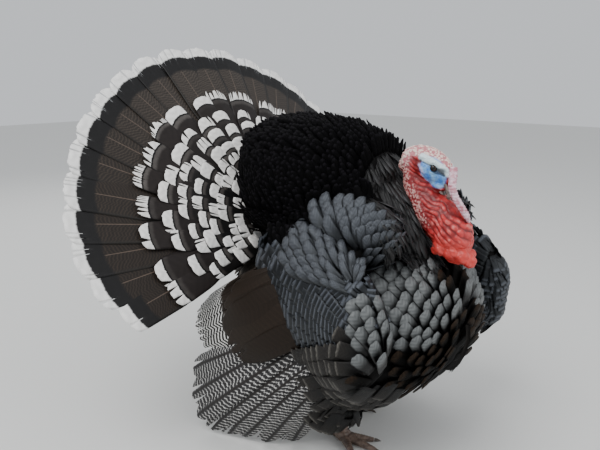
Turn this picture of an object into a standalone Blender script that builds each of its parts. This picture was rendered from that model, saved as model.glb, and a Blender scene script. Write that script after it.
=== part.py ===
"""A tom turkey in full strut, life size, parted where a person names its parts.

Metres, +Z up. The bird faces -Y and stands on z = 0, and its left side is +X. Every solid
is placed from the bird's own datum, an empty that sits over the middle of its footprint.
"""

import math

import bmesh
import bpy
from mathutils import Matrix, Vector

COLLECTION = "tom_turkey"
DATUM_Y = 0.018          # the bird's datum behind the middle of its footprint
GAP = 0.0003             # clearance between pieces that touch

# Tail: 23 quills spread round one hub and leaning back.
FAN_HUB = Vector((0.0, 0.064, 0.356))
FAN_LEAN = math.radians(54.0)
FAN_RADIUS = 0.427
FAN_OUTER_LOSS = 0.050   # how much shorter the outermost quills are
FAN_SWEEP = -0.10        # sides of the fan bend back by this share of the radius
QUILLS_EACH_SIDE = 11
QUILL_PITCH = 10.35      # degrees between the middle quills
QUILL_CROWDING = 0.105   # degrees by which each further pair closes up
OUTER_VANE = 2.2         # the bared outer vane of the last quill, against an inner one
FAN_THICK = 0.0030
FAN_STEP = 0.0016        # half the step from one tail feather to the next
FAN_NOTCH = 0.982        # reach of a tail feather's shoulders against its tip
FAN_ROOT = 0.12          # share of the radius where the fan's plate begins
COVERT_RADIUS = 0.310    # reach of the white-tipped upper tail coverts
COVERTS_EACH_SIDE = 6
COVERT_PITCH = 16.8      # degrees
COVERT_NOTCH = 0.955
COVERT_STACK = ((0.050, 0.0300), (0.225, 0.0095), (COVERT_RADIUS, 0.0040))  # radius, height
COVERT_GAP = 0.0016      # between the fan's plate and the coverts on each face of it
UNDERTAIL_RADIUS = 0.200
UNDERTAIL_STACK = ((0.25, 0.040), (0.62, 0.022), (1.0, 0.003))   # share of radius, height
UNDERTAIL_NOTCH = 0.93
UNDERTAIL_COLUMNS = 11
UNDERTAIL_SPAN = 105.0   # degrees to each side

# Body: slices square to Y, as (y, lowest z, z of the widest point, highest z, half width).
TRUNK = (
    (-0.338, 0.228, 0.250, 0.275, 0.028),
    (-0.322, 0.182, 0.240, 0.318, 0.090),
    (-0.288, 0.138, 0.225, 0.352, 0.140),
    (-0.235, 0.098, 0.205, 0.385, 0.178),
    (-0.170, 0.066, 0.185, 0.405, 0.190),
    (-0.100, 0.056, 0.190, 0.410, 0.178),
    (-0.030, 0.070, 0.205, 0.410, 0.156),
    (0.035, 0.104, 0.240, 0.400, 0.128),
    (0.090, 0.150, 0.270, 0.380, 0.095),
    (0.125, 0.205, 0.290, 0.355, 0.055),
    (0.138, 0.250, 0.295, 0.330, 0.025),
)
MANTLE = (
    (-0.196, 0.440, 0.470, 0.500, 0.030),
    (-0.180, 0.400, 0.455, 0.526, 0.078),
    (-0.130, 0.360, 0.445, 0.556, 0.120),
    (-0.065, 0.335, 0.440, 0.570, 0.140),
    (0.000, 0.325, 0.435, 0.574, 0.138),
    (0.055, 0.325, 0.435, 0.567, 0.118),
    (0.105, 0.345, 0.440, 0.549, 0.085),
    (0.140, 0.380, 0.450, 0.522, 0.052),
    (0.158, 0.425, 0.460, 0.498, 0.022),
)
CAPE = (
    (-0.282, 0.370, 0.385, 0.400, 0.025),
    (-0.266, 0.340, 0.385, 0.430, 0.056),
    (-0.238, 0.325, 0.395, 0.462, 0.078),
    (-0.205, 0.325, 0.410, 0.494, 0.088),
    (-0.170, 0.335, 0.425, 0.514, 0.086),
    (-0.130, 0.350, 0.430, 0.520, 0.070),
    (-0.110, 0.380, 0.430, 0.490, 0.040),
)
BODY_SIDES = 16
BODY_SLICES = 13
CAPE_SIDES = 12
CAPE_SLICES = 8

# Wing: (y, x of the middle, z of the middle, half height, half thickness, lean in degrees).
WING = (
    (-0.318, 0.182, 0.262, 0.028, 0.012, 0.0),
    (-0.304, 0.184, 0.264, 0.068, 0.028, 3.0),
    (-0.262, 0.182, 0.275, 0.098, 0.036, 7.0),
    (-0.200, 0.176, 0.298, 0.108, 0.038, 10.0),
    (-0.140, 0.170, 0.315, 0.102, 0.037, 12.0),
    (-0.090, 0.164, 0.328, 0.086, 0.033, 12.0),
    (-0.060, 0.162, 0.340, 0.058, 0.026, 12.0),
    (-0.048, 0.162, 0.345, 0.026, 0.012, 12.0),
)
SHOULDER = (
    (-0.268, 0.104, 0.402, 0.020, 0.014, 24.0),
    (-0.254, 0.106, 0.402, 0.046, 0.032, 26.0),
    (-0.215, 0.110, 0.402, 0.068, 0.044, 30.0),
    (-0.165, 0.112, 0.400, 0.076, 0.048, 34.0),
    (-0.115, 0.114, 0.392, 0.066, 0.044, 36.0),
    (-0.080, 0.114, 0.386, 0.044, 0.030, 36.0),
    (-0.068, 0.114, 0.384, 0.020, 0.014, 36.0),
)
WING_SIDES = 11
WING_SLICES = 9
PRIMARY_BASES = (
    (0.180, -0.110, 0.245),
    (0.183, -0.170, 0.235),
    (0.180, -0.215, 0.225),
    (0.165, -0.245, 0.205),
)
PRIMARY_TIPS = (
    (0.203, 0.106, 0.128),
    (0.210, 0.103, 0.062),
    (0.208, 0.078, 0.004),
    (0.190, 0.018, -0.002),
    (0.165, -0.042, -0.002),
    (0.120, -0.088, -0.002),
)
PRIMARIES = 9
PRIMARY_BULGE = 0.014      # how far the vanes bow outwards
PRIMARY_NOTCH = 0.90       # reach of a vane's shoulders against its tip
SECONDARY_BASES = (
    (0.184, -0.175, 0.250),
    (0.178, -0.120, 0.290),
    (0.168, -0.070, 0.335),
    (0.162, -0.062, 0.346),
)
SECONDARY_TIPS = (
    (0.200, 0.040, 0.135),
    (0.204, 0.086, 0.178),
    (0.199, 0.094, 0.222),
    (0.188, 0.066, 0.262),
)
SECONDARIES = 8
SECONDARY_BULGE = 0.012
SECONDARY_NOTCH = 0.955
WING_VANE = 0.0024
VANE_STEP = 0.0022         # from one edge of a vane to the other, where it laps the next
VANE_BEND = 0.62           # share of a wing vane's length where it bends
FLOOR_DEPTH = 0.05

# Head and neck: (y, z, half width, half depth) down the middle of the neck.
NECK = (
    (-0.238, 0.490, 0.0225, 0.022),
    (-0.245, 0.466, 0.0260, 0.028),
    (-0.262, 0.438, 0.0290, 0.034),
    (-0.292, 0.414, 0.0315, 0.036),
    (-0.309, 0.392, 0.0300, 0.033),
    (-0.314, 0.376, 0.0230, 0.024),
)
HEAD = (
    (-0.211, 0.500, 0.0080, 0.010),
    (-0.217, 0.503, 0.0165, 0.020),
    (-0.232, 0.508, 0.0220, 0.0265),
    (-0.252, 0.508, 0.0240, 0.0280),
    (-0.272, 0.502, 0.0225, 0.0260),
    (-0.286, 0.493, 0.0172, 0.0198),
    (-0.295, 0.485, 0.0122, 0.0130),
)
UPPER_BILL = (
    (-0.2930, 0.4830, 0.0112, 0.0095),
    (-0.2975, 0.4745, 0.0094, 0.0076),
    (-0.2995, 0.4650, 0.0068, 0.0057),
    (-0.2975, 0.4560, 0.0041, 0.0038),
    (-0.2930, 0.4495, 0.0015, 0.0016),
)
LOWER_BILL = (
    (-0.2820, 0.4700, 0.0088, 0.0044),
    (-0.2858, 0.4640, 0.0068, 0.0036),
    (-0.2873, 0.4580, 0.0044, 0.0027),
    (-0.2870, 0.4530, 0.0019, 0.0014),
)
SNOOD = (
    (0.000, -0.3030, 0.5040),
    (-0.011, -0.3090, 0.4880),
    (-0.0150, -0.3120, 0.4700),
    (-0.0115, -0.3220, 0.4530),
    (-0.0060, -0.3320, 0.4360),
    (0.0015, -0.3340, 0.4230),
)
SNOOD_RADII = (0.0071, 0.0067, 0.0060, 0.0057, 0.0055, 0.0050, 0.0025)
NECK_SIDES = 11
BILL_SIDES = 8
EYE_PLACE = Vector((0.0184, -0.2785, 0.5045))
EYE_RADIUS = 0.0058
WATTLE_PLACE = Vector((0.0, -0.3170, 0.3700))
WATTLE_SIZE = Vector((0.0310, 0.0350, 0.0190))
WATTLE_TILT = math.radians(24.0)             # its front hangs lower than its back
WATTLE_LOBES = 5
WATTLE_LOBE_DEPTH = 0.09

# Legs: the right foot is set down in front and the left one trails behind.
LEG_X = 0.062
ANKLE_Y = {"left": -0.045, "right": -0.140}
ANKLE_Z = 0.020
SHANK_TOP = Vector((0.0, 0.020, 0.084))      # from the ankle's place on the floor
SHANK_RADIUS = 0.0095
THIGH = (                                    # x, y from the ankle, z, half width, half depth
    (0.068, 0.004, 0.052, 0.022, 0.024),
    (0.078, 0.002, 0.058, 0.040, 0.044),
    (0.092, 0.000, 0.078, 0.058, 0.064),
    (0.102, 0.002, 0.110, 0.064, 0.074),
    (0.104, 0.008, 0.145, 0.056, 0.066),
    (0.102, 0.012, 0.172, 0.034, 0.040),
)
THIGH_SIDES = 11
THIGH_SLICES = 7
PAD_RADIUS = 0.0145
TOE_RADIUS = 0.0082
TOES = (("inner", 34.0, 0.056), ("middle", 4.0, 0.070), ("outer", -34.0, 0.056))
HIND_TOE = ("hind", 176.0, 0.026)
TOE_HEIGHTS = (0.0125, 0.0080, 0.0062, 0.0045)   # of a toe's middle, from root to tip
TOE_TAPER = (1.15, 0.95, 0.80, 0.52)
CLAW_LENGTH = 0.013
CLAW_RADII = (0.0036, 0.0031, 0.0020, 0.0006)
CLAW_DROP = 0.0018
SPUR_LENGTH = 0.014
SPUR_RISE = 0.004
SPUR_RADII = (0.0042, 0.0034, 0.0021, 0.0006)
BEARD_RADII = (0.0035, 0.0060, 0.0068, 0.0066, 0.0052, 0.0026)
BEARD = (                                    # y, z
    (-0.3430, 0.256), (-0.3445, 0.232), (-0.3390, 0.208), (-0.3290, 0.186), (-0.3160, 0.166),
)


# ---- scene, collections, finishes ---------------------------------------------------------

def start_scene():
    for item in list(bpy.data.objects):
        bpy.data.objects.remove(item, do_unlink=True)
    parts = bpy.data.collections.new(COLLECTION)
    cutters = bpy.data.collections.new("cutters")
    bpy.context.scene.collection.children.link(parts)
    bpy.context.scene.collection.children.link(cutters)
    datum = bpy.data.objects.new("datum", None)
    datum.location = (0.0, DATUM_Y, 0.0)
    parts.objects.link(datum)
    return parts, cutters, datum


PARTS, CUTTERS, DATUM = start_scene()


def finish(name, colour, roughness, metallic=0.0):
    """A Principled material with one colour."""
    material = bpy.data.materials.new(name)
    material.use_nodes = True
    shader = material.node_tree.nodes["Principled BSDF"]
    shader.inputs["Base Color"].default_value = (*colour, 1.0)
    shader.inputs["Roughness"].default_value = roughness
    shader.inputs["Metallic"].default_value = metallic
    return material


BLACK_PLUME = finish("black_plume", (0.012, 0.011, 0.011), 0.55)
SLATE_PLUME = finish("slate_plume", (0.060, 0.066, 0.074), 0.50)
BROWN_PLUME = finish("brown_plume", (0.050, 0.036, 0.026), 0.60)
BARRED_PLUME = finish("barred_plume", (0.160, 0.155, 0.150), 0.60)
TAIL_PLUME = finish("tail_plume", (0.055, 0.038, 0.028), 0.60)
WHITE_PLUME = finish("white_plume", (0.600, 0.570, 0.540), 0.65)
RED_SKIN = finish("red_skin", (0.520, 0.050, 0.045), 0.45)
BLUE_SKIN = finish("blue_skin", (0.280, 0.500, 0.780), 0.45)
PINK_SKIN = finish("pink_skin", (0.640, 0.240, 0.230), 0.45)
BILL_HORN = finish("bill_horn", (0.240, 0.200, 0.190), 0.40)
EYE_GLOSS = finish("eye_gloss", (0.015, 0.010, 0.008), 0.08)
LEG_SCALE = finish("leg_scale", (0.250, 0.170, 0.140), 0.60)
CLAW_HORN = finish("claw_horn", (0.080, 0.060, 0.050), 0.40)
BRISTLE = finish("bristle", (0.010, 0.009, 0.009), 0.60)


# ---- shaping helpers --------------------------------------------------------------------------

def smooth(rows, share):
    """The row of numbers at a share (0 to 1) of the smooth curve through the rows."""
    last = len(rows) - 1
    place = min(max(share, 0.0), 1.0) * last
    i = min(int(place), last - 1)
    f = place - i
    before = rows[max(i - 1, 0)]
    after = rows[min(i + 2, last)]
    out = []
    for a, b, c, d in zip(before, rows[i], rows[i + 1], after):
        bend = (2 * a - 5 * b + 4 * c - d) * f * f + (3 * b - a - 3 * c + d) * f ** 3
        out.append(0.5 * (2 * b + (c - a) * f + bend))
    return out


def new_part(name, mesh, material):
    """An object of the bird, placed from its datum."""
    item = bpy.data.objects.new(name, mesh)
    item.parent = DATUM
    mesh.materials.append(material)
    PARTS.objects.link(item)
    return item


def mesh_from(name, points, faces):
    """A closed mesh of triangles from points and faces, its faces turned outwards."""
    work = bmesh.new()
    corners = [work.verts.new(p) for p in points]
    for face in faces:
        work.faces.new([corners[i] for i in face])
    bmesh.ops.recalc_face_normals(work, faces=work.faces)
    if work.calc_volume(signed=True) < 0.0:
        bmesh.ops.reverse_faces(work, faces=work.faces)
    bmesh.ops.triangulate(work, faces=work.faces)
    mesh = bpy.data.meshes.new(name)
    work.to_mesh(mesh)
    work.free()
    mesh.shade_smooth()
    mesh.set_sharp_from_angle(angle=math.radians(50.0))
    return mesh


def loft(name, rings, material):
    """A skin over rings of equal length, closed by a face at each end."""
    sides = len(rings[0])
    faces = [list(range(sides))]
    for i in range(len(rings) - 1):
        for j in range(sides):
            k = (j + 1) % sides
            a = i * sides
            faces.append([a + j, a + k, a + sides + k, a + sides + j])
    faces.append([(len(rings) - 1) * sides + j for j in range(sides)])
    points = [p for ring in rings for p in ring]
    return new_part(name, mesh_from(name, points, faces), material)


def eased(index, count):
    """Shares from 0 to 1 that close up towards both ends, so that ends come out round."""
    return 0.5 - 0.5 * math.cos(math.pi * index / (count - 1))


def mixed(index, count):
    """Shares between even and eased spacing."""
    return 0.5 * index / (count - 1) + 0.5 * eased(index, count)


def body_form(name, rows, material, slices=BODY_SLICES, sides=BODY_SIDES):
    """A body of slices square to Y."""
    rings = []
    for i in range(slices):
        y, low, wide, high, half = smooth(rows, mixed(i, slices))
        ring = []
        for j in range(sides):
            turn = 2 * math.pi * j / sides
            up = math.sin(turn)
            reach = (high - wide) if up > 0 else (wide - low)
            ring.append(Vector((half * math.cos(turn), y, wide + reach * up)))
        rings.append(ring)
    return loft(name, rings, material)


def wing_form(name, rows, side, material):
    """A flat oval mass beside the body, leaning inwards at its top."""
    rings = []
    for i in range(WING_SLICES):
        y, x, z, tall, thick, lean = smooth(rows, mixed(i, WING_SLICES))
        tilt = math.radians(lean)
        ring = []
        for j in range(WING_SIDES):
            turn = 2 * math.pi * (j + 0.25) / WING_SIDES
            across = thick * math.cos(turn)
            along = tall * math.sin(turn)
            out = x + across * math.cos(tilt) - along * math.sin(tilt)
            rise = z + across * math.sin(tilt) + along * math.cos(tilt)
            ring.append(Vector((side * out, y, rise)))
        rings.append(ring)
    return loft(name, rings, material)


def middle_form(name, rows, material, slices, sides):
    """A form whose slices stand square to a path of (y, z) in the bird's middle plane."""
    rings = []
    for i in range(slices):
        share = mixed(i, slices)
        y, z, half, deep = smooth(rows, share)
        y2, z2 = smooth(rows, share + 0.01)[:2]
        y1, z1 = smooth(rows, share - 0.01)[:2]
        run = Vector((0.0, y2 - y1, z2 - z1)).normalized()
        front = run.cross(Vector((1.0, 0.0, 0.0)))
        ring = []
        for j in range(sides):
            turn = 2 * math.pi * j / sides
            ring.append(Vector((half * math.cos(turn), y, z)) + front * (deep * math.sin(turn)))
        rings.append(ring)
    return loft(name, rings, material)


def tube(name, path, radii, sides, material):
    """A round tapering tube along a path of points."""
    rings = []
    for i, here in enumerate(path):
        run = (path[min(i + 1, len(path) - 1)] - path[max(i - 1, 0)]).normalized()
        across = run.orthogonal().normalized()
        other = run.cross(across)
        ring = []
        for j in range(sides):
            turn = 2 * math.pi * j / sides
            ring.append(here + radii[i] * (across * math.cos(turn) + other * math.sin(turn)))
        rings.append(ring)
    return loft(name, rings, material)


def plate(name, columns, material):
    """A thin solid: columns of (front point, back point) rows, stitched round its rim."""
    rows = len(columns[0])
    count = len(columns)
    points = []
    for column in columns:
        for front, back in column:
            points.append(front)
            points.append(back)

    def index(c, r, side):
        return 2 * (c * rows + r) + side

    faces = []
    for c in range(count - 1):
        for r in range(rows - 1):
            for side in (0, 1):
                faces.append([index(c, r, side), index(c + 1, r, side),
                              index(c + 1, r + 1, side), index(c, r + 1, side)])
        for r in (0, rows - 1):
            faces.append([index(c, r, 0), index(c + 1, r, 0),
                          index(c + 1, r, 1), index(c, r, 1)])
    for c in (0, count - 1):
        for r in range(rows - 1):
            faces.append([index(c, r, 0), index(c, r + 1, 0),
                          index(c, r + 1, 1), index(c, r, 1)])
    return new_part(name, mesh_from(name, points, faces), material)


def grown_copy(item, amount):
    """A cutter: the same shape, grown outwards by an amount."""
    cutter = bpy.data.objects.new(item.name + "_cutter", item.data)
    cutter.parent = DATUM
    for source in item.modifiers:
        copy = cutter.modifiers.new(source.name, source.type)
        copy.operation = source.operation
        copy.object = source.object
        copy.solver = "EXACT"
    grow = cutter.modifiers.new("grow", "DISPLACE")
    grow.mid_level = 0.0
    grow.strength = amount
    cutter.hide_render = True
    cutter.display_type = "WIRE"
    CUTTERS.objects.link(cutter)
    return cutter


def hide_cutter(item):
    """Turn a part into a plain cutter."""
    PARTS.objects.unlink(item)
    CUTTERS.objects.link(item)
    item.hide_render = True
    item.display_type = "WIRE"
    return item


def boolean(item, other, operation):
    step = item.modifiers.new(operation.lower(), "BOOLEAN")
    step.operation = operation
    step.solver = "EXACT"
    step.object = other


def cut(item, *cutters):
    for cutter in cutters:
        boolean(item, cutter, "DIFFERENCE")


def floor_block():
    """A block under the floor, which leaves small flats on what rests there."""
    bpy.ops.mesh.primitive_cube_add(size=1.0)
    block = bpy.context.object
    block.name = "floor_block"
    for corner in block.data.vertices:
        corner.co = Vector((corner.co.x * 2, corner.co.y * 2, (corner.co.z - 0.5) * FLOOR_DEPTH))
    for holder in list(block.users_collection):
        holder.objects.unlink(block)
    PARTS.objects.link(block)
    block.parent = DATUM
    return hide_cutter(block)


# ---- tail -----------------------------------------------------------------------------------

FAN_OUT = Vector((0.0, math.cos(FAN_LEAN), math.sin(FAN_LEAN)))
FAN_FRONT = Vector((0.0, -math.sin(FAN_LEAN), math.cos(FAN_LEAN)))


def quill_angle(place):
    """Radians from the fan's middle at a quill number, which may lie between two quills."""
    size = abs(place)
    turn = math.radians(QUILL_PITCH * size - QUILL_CROWDING * size * size)
    return math.copysign(turn, place)


def fan_point(turn, radius, lift=0.0):
    """A point of the fan's surface, lifted off its front by a height."""
    bend = FAN_SWEEP * radius * math.sin(turn) ** 2
    return (FAN_HUB + FAN_OUT * (radius * math.cos(turn))
            + Vector((radius * math.sin(turn), 0.0, 0.0)) + FAN_FRONT * (bend + lift))


def fan_reach(turn):
    """Length of the quills at an angle."""
    share = min(max((abs(math.degrees(turn)) - 85.0) / 25.0, 0.0), 1.0)
    return FAN_RADIUS - FAN_OUTER_LOSS * share * share * (3 - 2 * share)


def tail_fan():
    """The spread quills as one scalloped plate, each overlapping the next by a small step."""
    columns = []
    for k in range(-QUILLS_EACH_SIDE, QUILLS_EACH_SIDE + 1):
        for place, tip in ((-0.47, FAN_NOTCH), (0.0, 1.0), (0.47, FAN_NOTCH)):
            if abs(k) == QUILLS_EACH_SIDE and place * k > 0.0:
                place *= OUTER_VANE
            outward = place * (1 if k >= 0 else -1)
            turn = quill_angle(k + place)
            lift = -FAN_STEP * outward
            column = []
            for share in (FAN_ROOT, 0.90, tip):
                radius = fan_reach(turn) * share
                column.append((fan_point(turn, radius, lift + FAN_THICK / 2),
                               fan_point(turn, radius, lift - FAN_THICK / 2)))
            columns.append(column)
    return plate("tail_fan", columns, TAIL_PLUME)


def behind_fan():
    """A cutter that takes away what would stand behind the fan's front."""
    columns = []
    steps = 14
    for i in range(steps + 1):
        turn = quill_angle(QUILLS_EACH_SIDE + OUTER_VANE / 2) * (2 * i / steps - 1)
        columns.append([(fan_point(turn, radius, FAN_THICK), fan_point(turn, radius, -0.25))
                        for radius in (0.004, FAN_RADIUS)])
    return hide_cutter(plate("behind_fan_cutter", columns, TAIL_PLUME))


def tail_coverts():
    """The upper tail coverts, thick at the rump and thin at their tips."""
    columns = []
    base = FAN_THICK / 2 + COVERT_GAP
    for k in range(-COVERTS_EACH_SIDE, COVERTS_EACH_SIDE + 1):
        for place, tip in ((-0.48, COVERT_NOTCH), (0.0, 1.0), (0.48, COVERT_NOTCH)):
            turn = math.radians((k + place) * COVERT_PITCH)
            column = []
            for radius, height in COVERT_STACK:
                if radius == COVERT_RADIUS:
                    radius *= tip
                column.append((fan_point(turn, radius, base + height),
                               fan_point(turn, radius, base)))
            columns.append(column)
    return plate("tail_coverts", columns, WHITE_PLUME)


def undertail_coverts():
    """Soft feathers behind the root of the fan."""
    columns = []
    base = -FAN_THICK / 2 - COVERT_GAP
    for i in range(UNDERTAIL_COLUMNS):
        turn = math.radians(UNDERTAIL_SPAN * (2 * i / (UNDERTAIL_COLUMNS - 1) - 1))
        scallop = 1.0 if i % 2 else UNDERTAIL_NOTCH
        column = []
        for share, height in UNDERTAIL_STACK:
            radius = UNDERTAIL_RADIUS * share * (scallop if share == 1.0 else 1.0)
            column.append((fan_point(turn, radius, base),
                           fan_point(turn, radius, base - height)))
        columns.append(column)
    return plate("undertail_coverts", columns, BROWN_PLUME)


# ---- wings ------------------------------------------------------------------------------------

def vane_plate(name, bases, tips, count, side, bulge, notch, material):
    """Long feathers side by side from a line of bases to a line of tips."""
    columns = []
    for k in range(count):
        for place, tip in ((0.05, notch), (0.50, 1.0), (0.95, notch)):
            share = (k + place) / count
            base = Vector(smooth(bases, share))
            end = Vector(smooth(tips, share))
            step = VANE_STEP * (0.5 - place)
            column = []
            for reach in (0.0, VANE_BEND, tip):
                here = base.lerp(end, reach)
                here.x += bulge * math.sin(math.pi * reach) + step
                half = WING_VANE / 2
                column.append((Vector((side * (here.x + half), here.y, here.z)),
                               Vector((side * (here.x - half), here.y, here.z))))
            columns.append(column)
    return plate(name, columns, material)


# ---- legs -------------------------------------------------------------------------------------

def toe_path(side, word, turn, length):
    """Points from the foot's middle out along one toe, and its direction."""
    angle = math.radians(turn)
    run = Vector((-side * math.sin(angle), -math.cos(angle), 0.0))
    start = Vector((side * LEG_X, ANKLE_Y[word], 0.0))
    path = []
    for i, height in enumerate(TOE_HEIGHTS):
        along = length * i / (len(TOE_HEIGHTS) - 1)
        path.append(start + run * along + Vector((0.0, 0.0, height)))
    return path, run


def foot(side, word, floor):
    """The four toes joined to the lower end of the shank, with flat soles."""
    bpy.ops.mesh.primitive_uv_sphere_add(segments=8, ring_count=6, radius=PAD_RADIUS)
    knob = bpy.context.object
    pad = new_part("foot_" + word, knob.data, LEG_SCALE)
    bpy.data.objects.remove(knob)
    for corner in pad.data.vertices:
        corner.co = Vector((corner.co.x + side * LEG_X, corner.co.y * 1.1 + ANKLE_Y[word],
                            corner.co.z * 0.95 + 0.0118))
    pad.data.shade_smooth()
    for name, turn, length in (*TOES, HIND_TOE):
        path, _ = toe_path(side, word, turn, length)
        radii = [TOE_RADIUS * share for share in TOE_TAPER]
        toe = tube("toe_cutter_" + name + word, path, radii, 6, LEG_SCALE)
        boolean(pad, hide_cutter(toe), "UNION")
    cut(pad, floor)
    return pad


def claw(side, word, toe, floor):
    """A curved claw just beyond the end of a toe."""
    name, turn, length = toe
    path, run = toe_path(side, word, turn, length + GAP)
    root = path[-1]
    points = []
    for i in range(len(CLAW_RADII)):
        share = i / (len(CLAW_RADII) - 1)
        drop = -CLAW_DROP * share * share
        points.append(root + run * (GAP + CLAW_LENGTH * share) + Vector((0.0, 0.0, drop)))
    cut(tube("claw_" + name + "_" + word, points, CLAW_RADII, 5, CLAW_HORN), floor)


def leg(side, word, trunk_cutter, floor):
    """Thigh, shank, foot, claws and spur of one side."""
    ankle = Vector((side * LEG_X, ANKLE_Y[word], ANKLE_Z))
    top = Vector((ankle.x, ankle.y + SHANK_TOP.y, SHANK_TOP.z))
    sole = foot(side, word, floor)
    shank = tube("shank_" + word, [ankle, ankle.lerp(top, 0.5), top],
                 [SHANK_RADIUS * 1.1, SHANK_RADIUS * 0.9, SHANK_RADIUS], 10, LEG_SCALE)
    cut(shank, grown_copy(sole, GAP), trunk_cutter)
    shank_cutter = grown_copy(shank, GAP)
    rings = []
    for i in range(THIGH_SLICES):
        x, y, z, half, deep = smooth(THIGH, mixed(i, THIGH_SLICES))
        centre = Vector((side * x, ankle.y + y, z))
        turns = [2 * math.pi * j / THIGH_SIDES for j in range(THIGH_SIDES)]
        rings.append([centre + Vector((half * math.cos(t), deep * math.sin(t), 0.0))
                      for t in turns])
    thigh = loft("thigh_" + word, rings, BROWN_PLUME)
    thigh_cutter = grown_copy(thigh, GAP)
    for toe in (*TOES, HIND_TOE):
        claw(side, word, toe, floor)
    middle = ankle.lerp(top, 0.14) + Vector((-side * 0.002, SHANK_RADIUS * 0.8, 0.0))
    points = []
    for i in range(len(SPUR_RADII)):
        share = i / (len(SPUR_RADII) - 1)
        points.append(middle + Vector((0.0, SPUR_LENGTH * share, SPUR_RISE * share * share)))
    spur = tube("spur_" + word, points, SPUR_RADII, 5, CLAW_HORN)
    cut(spur, shank_cutter)
    cut(thigh, trunk_cutter, shank_cutter, grown_copy(spur, GAP))
    return thigh_cutter


# ---- head --------------------------------------------------------------------------------------

def wattle():
    """The swollen red lobes at the foot of the neck."""
    bpy.ops.mesh.primitive_uv_sphere_add(segments=15, ring_count=7, radius=1.0)
    ball = bpy.context.object
    item = new_part("wattle", ball.data, RED_SKIN)
    bpy.data.objects.remove(ball)
    for corner in item.data.vertices:
        turn = math.atan2(corner.co.y, corner.co.x)
        swell = WATTLE_LOBE_DEPTH * math.cos(WATTLE_LOBES * (turn + math.pi / 2))
        swell *= math.hypot(corner.co.x, corner.co.y)
        shaped = (WATTLE_SIZE * (1.0 + swell)) * corner.co
        corner.co = WATTLE_PLACE + Matrix.Rotation(WATTLE_TILT, 3, "X") @ shaped
    item.data.shade_smooth()
    return item


def eye(side, word):
    bpy.ops.mesh.primitive_uv_sphere_add(segments=10, ring_count=6, radius=EYE_RADIUS)
    ball = bpy.context.object
    item = new_part("eye_" + word, ball.data, EYE_GLOSS)
    bpy.data.objects.remove(ball)
    for corner in item.data.vertices:
        corner.co += Vector((side * EYE_PLACE.x, EYE_PLACE.y, EYE_PLACE.z))
    item.data.shade_smooth()
    return item


def snood():
    last = len(SNOOD_RADII) - 1
    path = [Vector(smooth(SNOOD, i / last)) for i in range(last + 1)]
    return tube("snood", path, SNOOD_RADII, 8, PINK_SKIN)


# ---- the whole bird -------------------------------------------------------------------------------

def build():
    floor = floor_block()
    trunk = body_form("trunk", TRUNK, BLACK_PLUME)
    trunk_cutter = grown_copy(trunk, GAP)
    mantle = body_form("mantle", MANTLE, BLACK_PLUME)
    mantle_cutter = grown_copy(mantle, GAP)
    cut(mantle, trunk_cutter, behind_fan())
    neck = middle_form("neck", NECK, RED_SKIN, 7, NECK_SIDES)
    neck_cutter = grown_copy(neck, GAP)
    head = middle_form("head", HEAD, BLUE_SKIN, 8, NECK_SIDES)
    head_cutter = grown_copy(head, GAP)
    for ball in (eye(1, "left"), eye(-1, "right")):
        cut(head, grown_copy(ball, GAP))
    lobes_cutter = grown_copy(wattle(), GAP)
    cut(neck, head_cutter, lobes_cutter)
    upper = middle_form("bill_upper", UPPER_BILL, BILL_HORN, 6, BILL_SIDES)
    cut(upper, head_cutter, neck_cutter)
    lower = middle_form("bill_lower", LOWER_BILL, BILL_HORN, 5, BILL_SIDES)
    upper_cutter = grown_copy(upper, GAP)
    lower_cutter = grown_copy(lower, GAP)
    cut(lower, head_cutter, neck_cutter, upper_cutter)
    fringe = snood()
    cut(fringe, head_cutter, upper_cutter, lower_cutter, neck_cutter, lobes_cutter)
    cape = body_form("cape", CAPE, BLACK_PLUME, CAPE_SLICES, CAPE_SIDES)
    cape_cutter = grown_copy(cape, GAP)
    cut(cape, trunk_cutter, mantle_cutter, neck_cutter, head_cutter, lobes_cutter)
    fan = tail_fan()
    cut(fan, trunk_cutter)
    coverts = tail_coverts()
    cut(coverts, trunk_cutter, mantle_cutter)
    under = undertail_coverts()
    cut(under, trunk_cutter)
    for side, word in ((1, "left"), (-1, "right")):
        wing = wing_form("wing_" + word, WING, side, SLATE_PLUME)
        wing_cutter = grown_copy(wing, GAP)
        cut(wing, trunk_cutter, mantle_cutter, cape_cutter)
        shoulder = wing_form("scapulars_" + word, SHOULDER, side, SLATE_PLUME)
        cut(shoulder, cape_cutter, trunk_cutter, mantle_cutter, wing_cutter)
        flight = vane_plate("secondaries_" + word, SECONDARY_BASES, SECONDARY_TIPS, SECONDARIES,
                            side, SECONDARY_BULGE, SECONDARY_NOTCH, BROWN_PLUME)
        cut(flight, trunk_cutter, wing_cutter, mantle_cutter)
        thigh_cutter = leg(side, word, trunk_cutter, floor)
        hand = vane_plate("primaries_" + word, PRIMARY_BASES, PRIMARY_TIPS, PRIMARIES,
                          side, PRIMARY_BULGE, PRIMARY_NOTCH, BARRED_PLUME)
        cut(hand, trunk_cutter, wing_cutter, thigh_cutter, grown_copy(flight, GAP), floor)
    last = len(BEARD_RADII) - 1
    points = [Vector((0.0, *smooth(BEARD, i / last))) for i in range(last + 1)]
    cut(tube("beard", points, BEARD_RADII, 8, BRISTLE), trunk_cutter)


build()
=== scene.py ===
# %% [markdown]
# # A tom turkey in full strut
# A strutting tom spreads his tail into a fan, puffs up every feather of his body, drops his
# wings until the tips drag on the ground, and draws his bare blue and red head back into the
# ruff of his neck. This lesson dresses the plain solids of such a bird: first a skin, then the
# head, then feather tracts one by one. Many places come from the solids, so that those pieces
# sit exactly where the construction says; the others are given in tables.

# %% Load the solids
import math
import random
from types import SimpleNamespace

import bmesh
import bpy
from mathutils import Matrix, Vector, noise
from mathutils.bvhtree import BVHTree


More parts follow.
